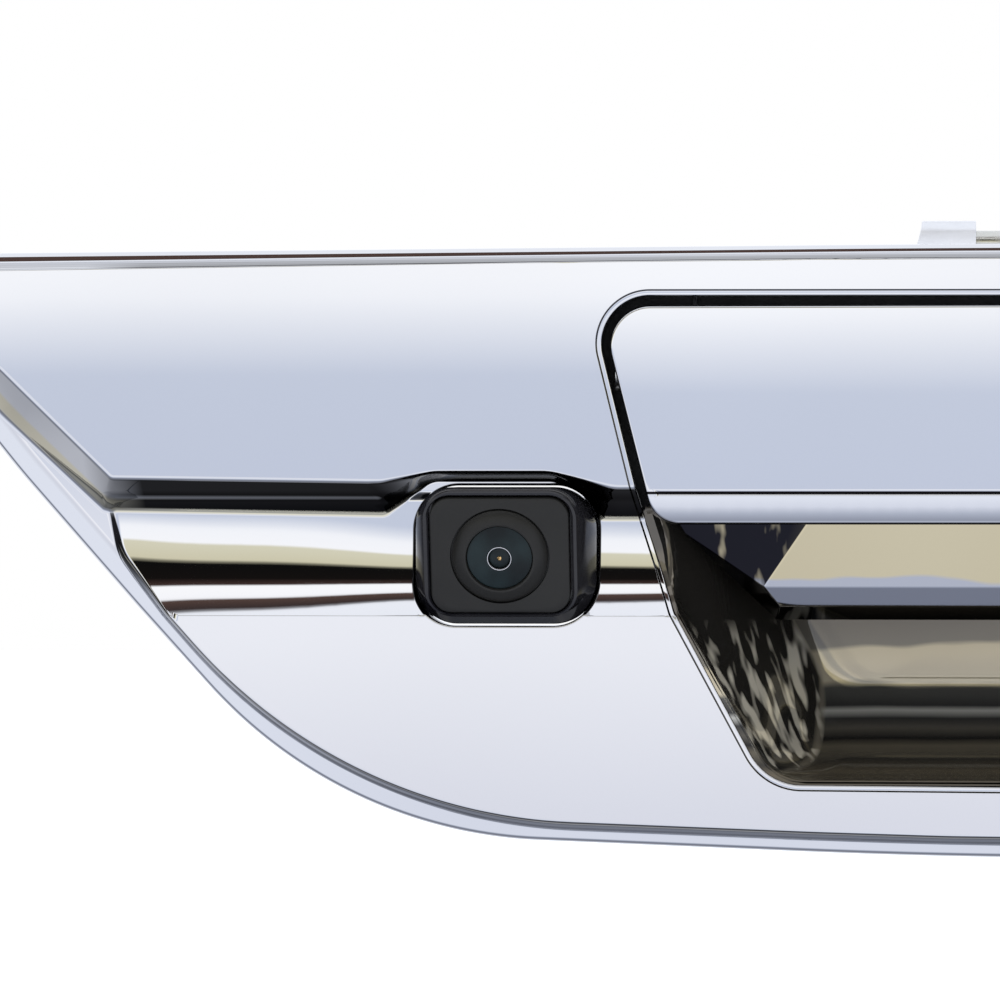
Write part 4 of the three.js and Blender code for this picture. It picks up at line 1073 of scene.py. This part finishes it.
# What the chrome sees, by angle above the horizon in front: 90 is overhead, beyond it is behind and above.
SURROUND = [
    (-180, (222, 225, 232)),
    (-125, (214, 217, 226)),
    (-100, (120, 124, 134)),
    (-80, (120, 124, 136)),
    (-72, (134, 139, 154)),
    (-58, (176, 182, 197)),
    (-46, (216, 220, 232)),
    (-30, (228, 232, 242)),
    (-14, (214, 217, 227)),
    (-9.4, (218, 220, 230)),
    (-3.5, (243, 244, 249)),
    (-1.5, (240, 241, 247)),
    (1.5, (197, 204, 221)),
    (9.8, (199, 206, 222)),
    (15.9, (249, 250, 253)),
    (23.1, (252, 252, 254)),
    (23.8, (216, 212, 188)),
    (33.2, (208, 202, 174)),
    (34, (14, 14, 14)),
    (45, (20, 17, 16)),
    (49.4, (62, 47, 43)),
    (50.4, (255, 255, 255)),
    (59, (252, 252, 254)),
    (60, (84, 66, 60)),
    (67, (52, 44, 44)),
    (69, (240, 242, 248)),
    (90, (236, 239, 246)),
    (180, (222, 225, 232)),
]


def world():
    scene_world = bpy.data.worlds.new("studio")
    bpy.context.scene.world = scene_world
    scene_world.use_nodes = True
    nodes, links = scene_world.node_tree.nodes, scene_world.node_tree.links
    background = nodes["Background"]
    direction = nodes.new("ShaderNodeTexCoord").outputs["Generated"]
    split = nodes.new("ShaderNodeSeparateXYZ")
    links.new(direction, split.inputs["Vector"])

    def math_node(operation, *values):
        node = nodes.new("ShaderNodeMath")
        node.operation = operation
        for socket, value in zip(node.inputs, values):
            if isinstance(value, (int, float)):
                socket.default_value = value
            else:
                links.new(value, socket)
        return node.outputs[0]

    front = math_node("MULTIPLY", split.outputs["Y"], -1.0)
    angle = math_node("ARCTAN2", split.outputs["Z"], front)
    turned = math_node("MULTIPLY_ADD", angle, 0.5 / math.pi, 0.5)
    ramp = nodes.new("ShaderNodeValToRGB")
    elements = ramp.color_ramp.elements
    elements[0].position, elements[1].position = 0.0, 1.0
    for degrees, colour in SURROUND[1:-1]:
        elements.new(degrees / 360 + 0.5).color = srgb(*colour)
    elements[0].color = srgb(*SURROUND[0][1])
    elements[-1].color = srgb(*SURROUND[-1][1])
    links.new(turned, ramp.inputs["Fac"])

    sideways = math_node("ABSOLUTE", split.outputs["X"])
    edge = nodes.new("ShaderNodeMapRange")
    edge.interpolation_type = "SMOOTHSTEP"
    edge.inputs["From Min"].default_value = 0.80
    edge.inputs["From Max"].default_value = 0.95
    links.new(sideways, edge.inputs["Value"])
    sides = nodes.new("ShaderNodeMix")
    sides.data_type = "RGBA"
    links.new(edge.outputs["Result"], sides.inputs["Factor"])
    links.new(ramp.outputs["Color"], sides.inputs["A"])
    sides.inputs["B"].default_value = srgb(30, 30, 33)

    path = nodes.new("ShaderNodeLightPath")
    seen = nodes.new("ShaderNodeMix")
    seen.data_type = "RGBA"
    links.new(path.outputs["Is Camera Ray"], seen.inputs["Factor"])
    links.new(sides.outputs["Result"], seen.inputs["A"])
    seen.inputs["B"].default_value = (1, 1, 1, 1)
    links.new(seen.outputs["Result"], background.inputs["Color"])
    strength = nodes.new("ShaderNodeMapRange")
    strength.inputs["To Min"].default_value = 1.62
    strength.inputs["To Max"].default_value = 1.0
    links.new(path.outputs["Is Camera Ray"], strength.inputs["Value"])
    links.new(strength.outputs["Result"], background.inputs["Strength"])


def stage():
    floor_mesh = bpy.data.meshes.new("floor")
    corners = [(x, y, -0.12) for x, y in ((-6, -6), (6, -6), (6, 6), (-6, 6))]
    floor_mesh.from_pydata(corners, [], [(0, 1, 2, 3)])
    floor = bpy.data.objects.new("floor", floor_mesh)
    bpy.context.scene.collection.objects.link(floor)
    paint = Surface("floor_paint", Roughness=0.8)
    paint.tint(paint.noise(3, 3), (0.86, 0.86, 0.86), (0.89, 0.89, 0.89))
    paint.shader.inputs["Emission Color"].default_value = (1, 1, 1, 1)
    paint.shader.inputs["Emission Strength"].default_value = 0.6
    floor_mesh.materials.append(paint.material)
    floor.visible_glossy = False
    light = bpy.data.lights.new("softbox", "AREA")
    light.shape = "RECTANGLE"
    light.size, light.size_y = 1.2, 0.8
    light.energy = 18
    lamp = bpy.data.objects.new("softbox", light)
    lamp.location = (-0.7, -1.3, 1.3)
    aim = Vector((-0.1, 0, 0.06)) - lamp.location
    lamp.rotation_euler = aim.to_track_quat("-Z", "Y").to_euler()
    lamp.visible_glossy = False
    bpy.context.scene.collection.objects.link(lamp)


def camera():
    data = bpy.data.cameras.new("camera")
    data.sensor_width = 36
    eye = bpy.data.objects.new("camera", data)
    bpy.context.scene.collection.objects.link(eye)
    target = Vector((-116, -14, 70)) * MM
    yaw = math.radians(4.5)
    distance = 1.15
    eye.location = target + distance * Vector((math.sin(yaw), -math.cos(yaw), 0))
    eye.rotation_euler = (target - eye.location).to_track_quat("-Z", "Y").to_euler()
    data.lens = data.sensor_width * distance / 0.2
    data.clip_end = 50
    bpy.context.scene.camera = eye


world()
stage()
camera()
bpy.context.scene.view_settings.view_transform = "Standard"
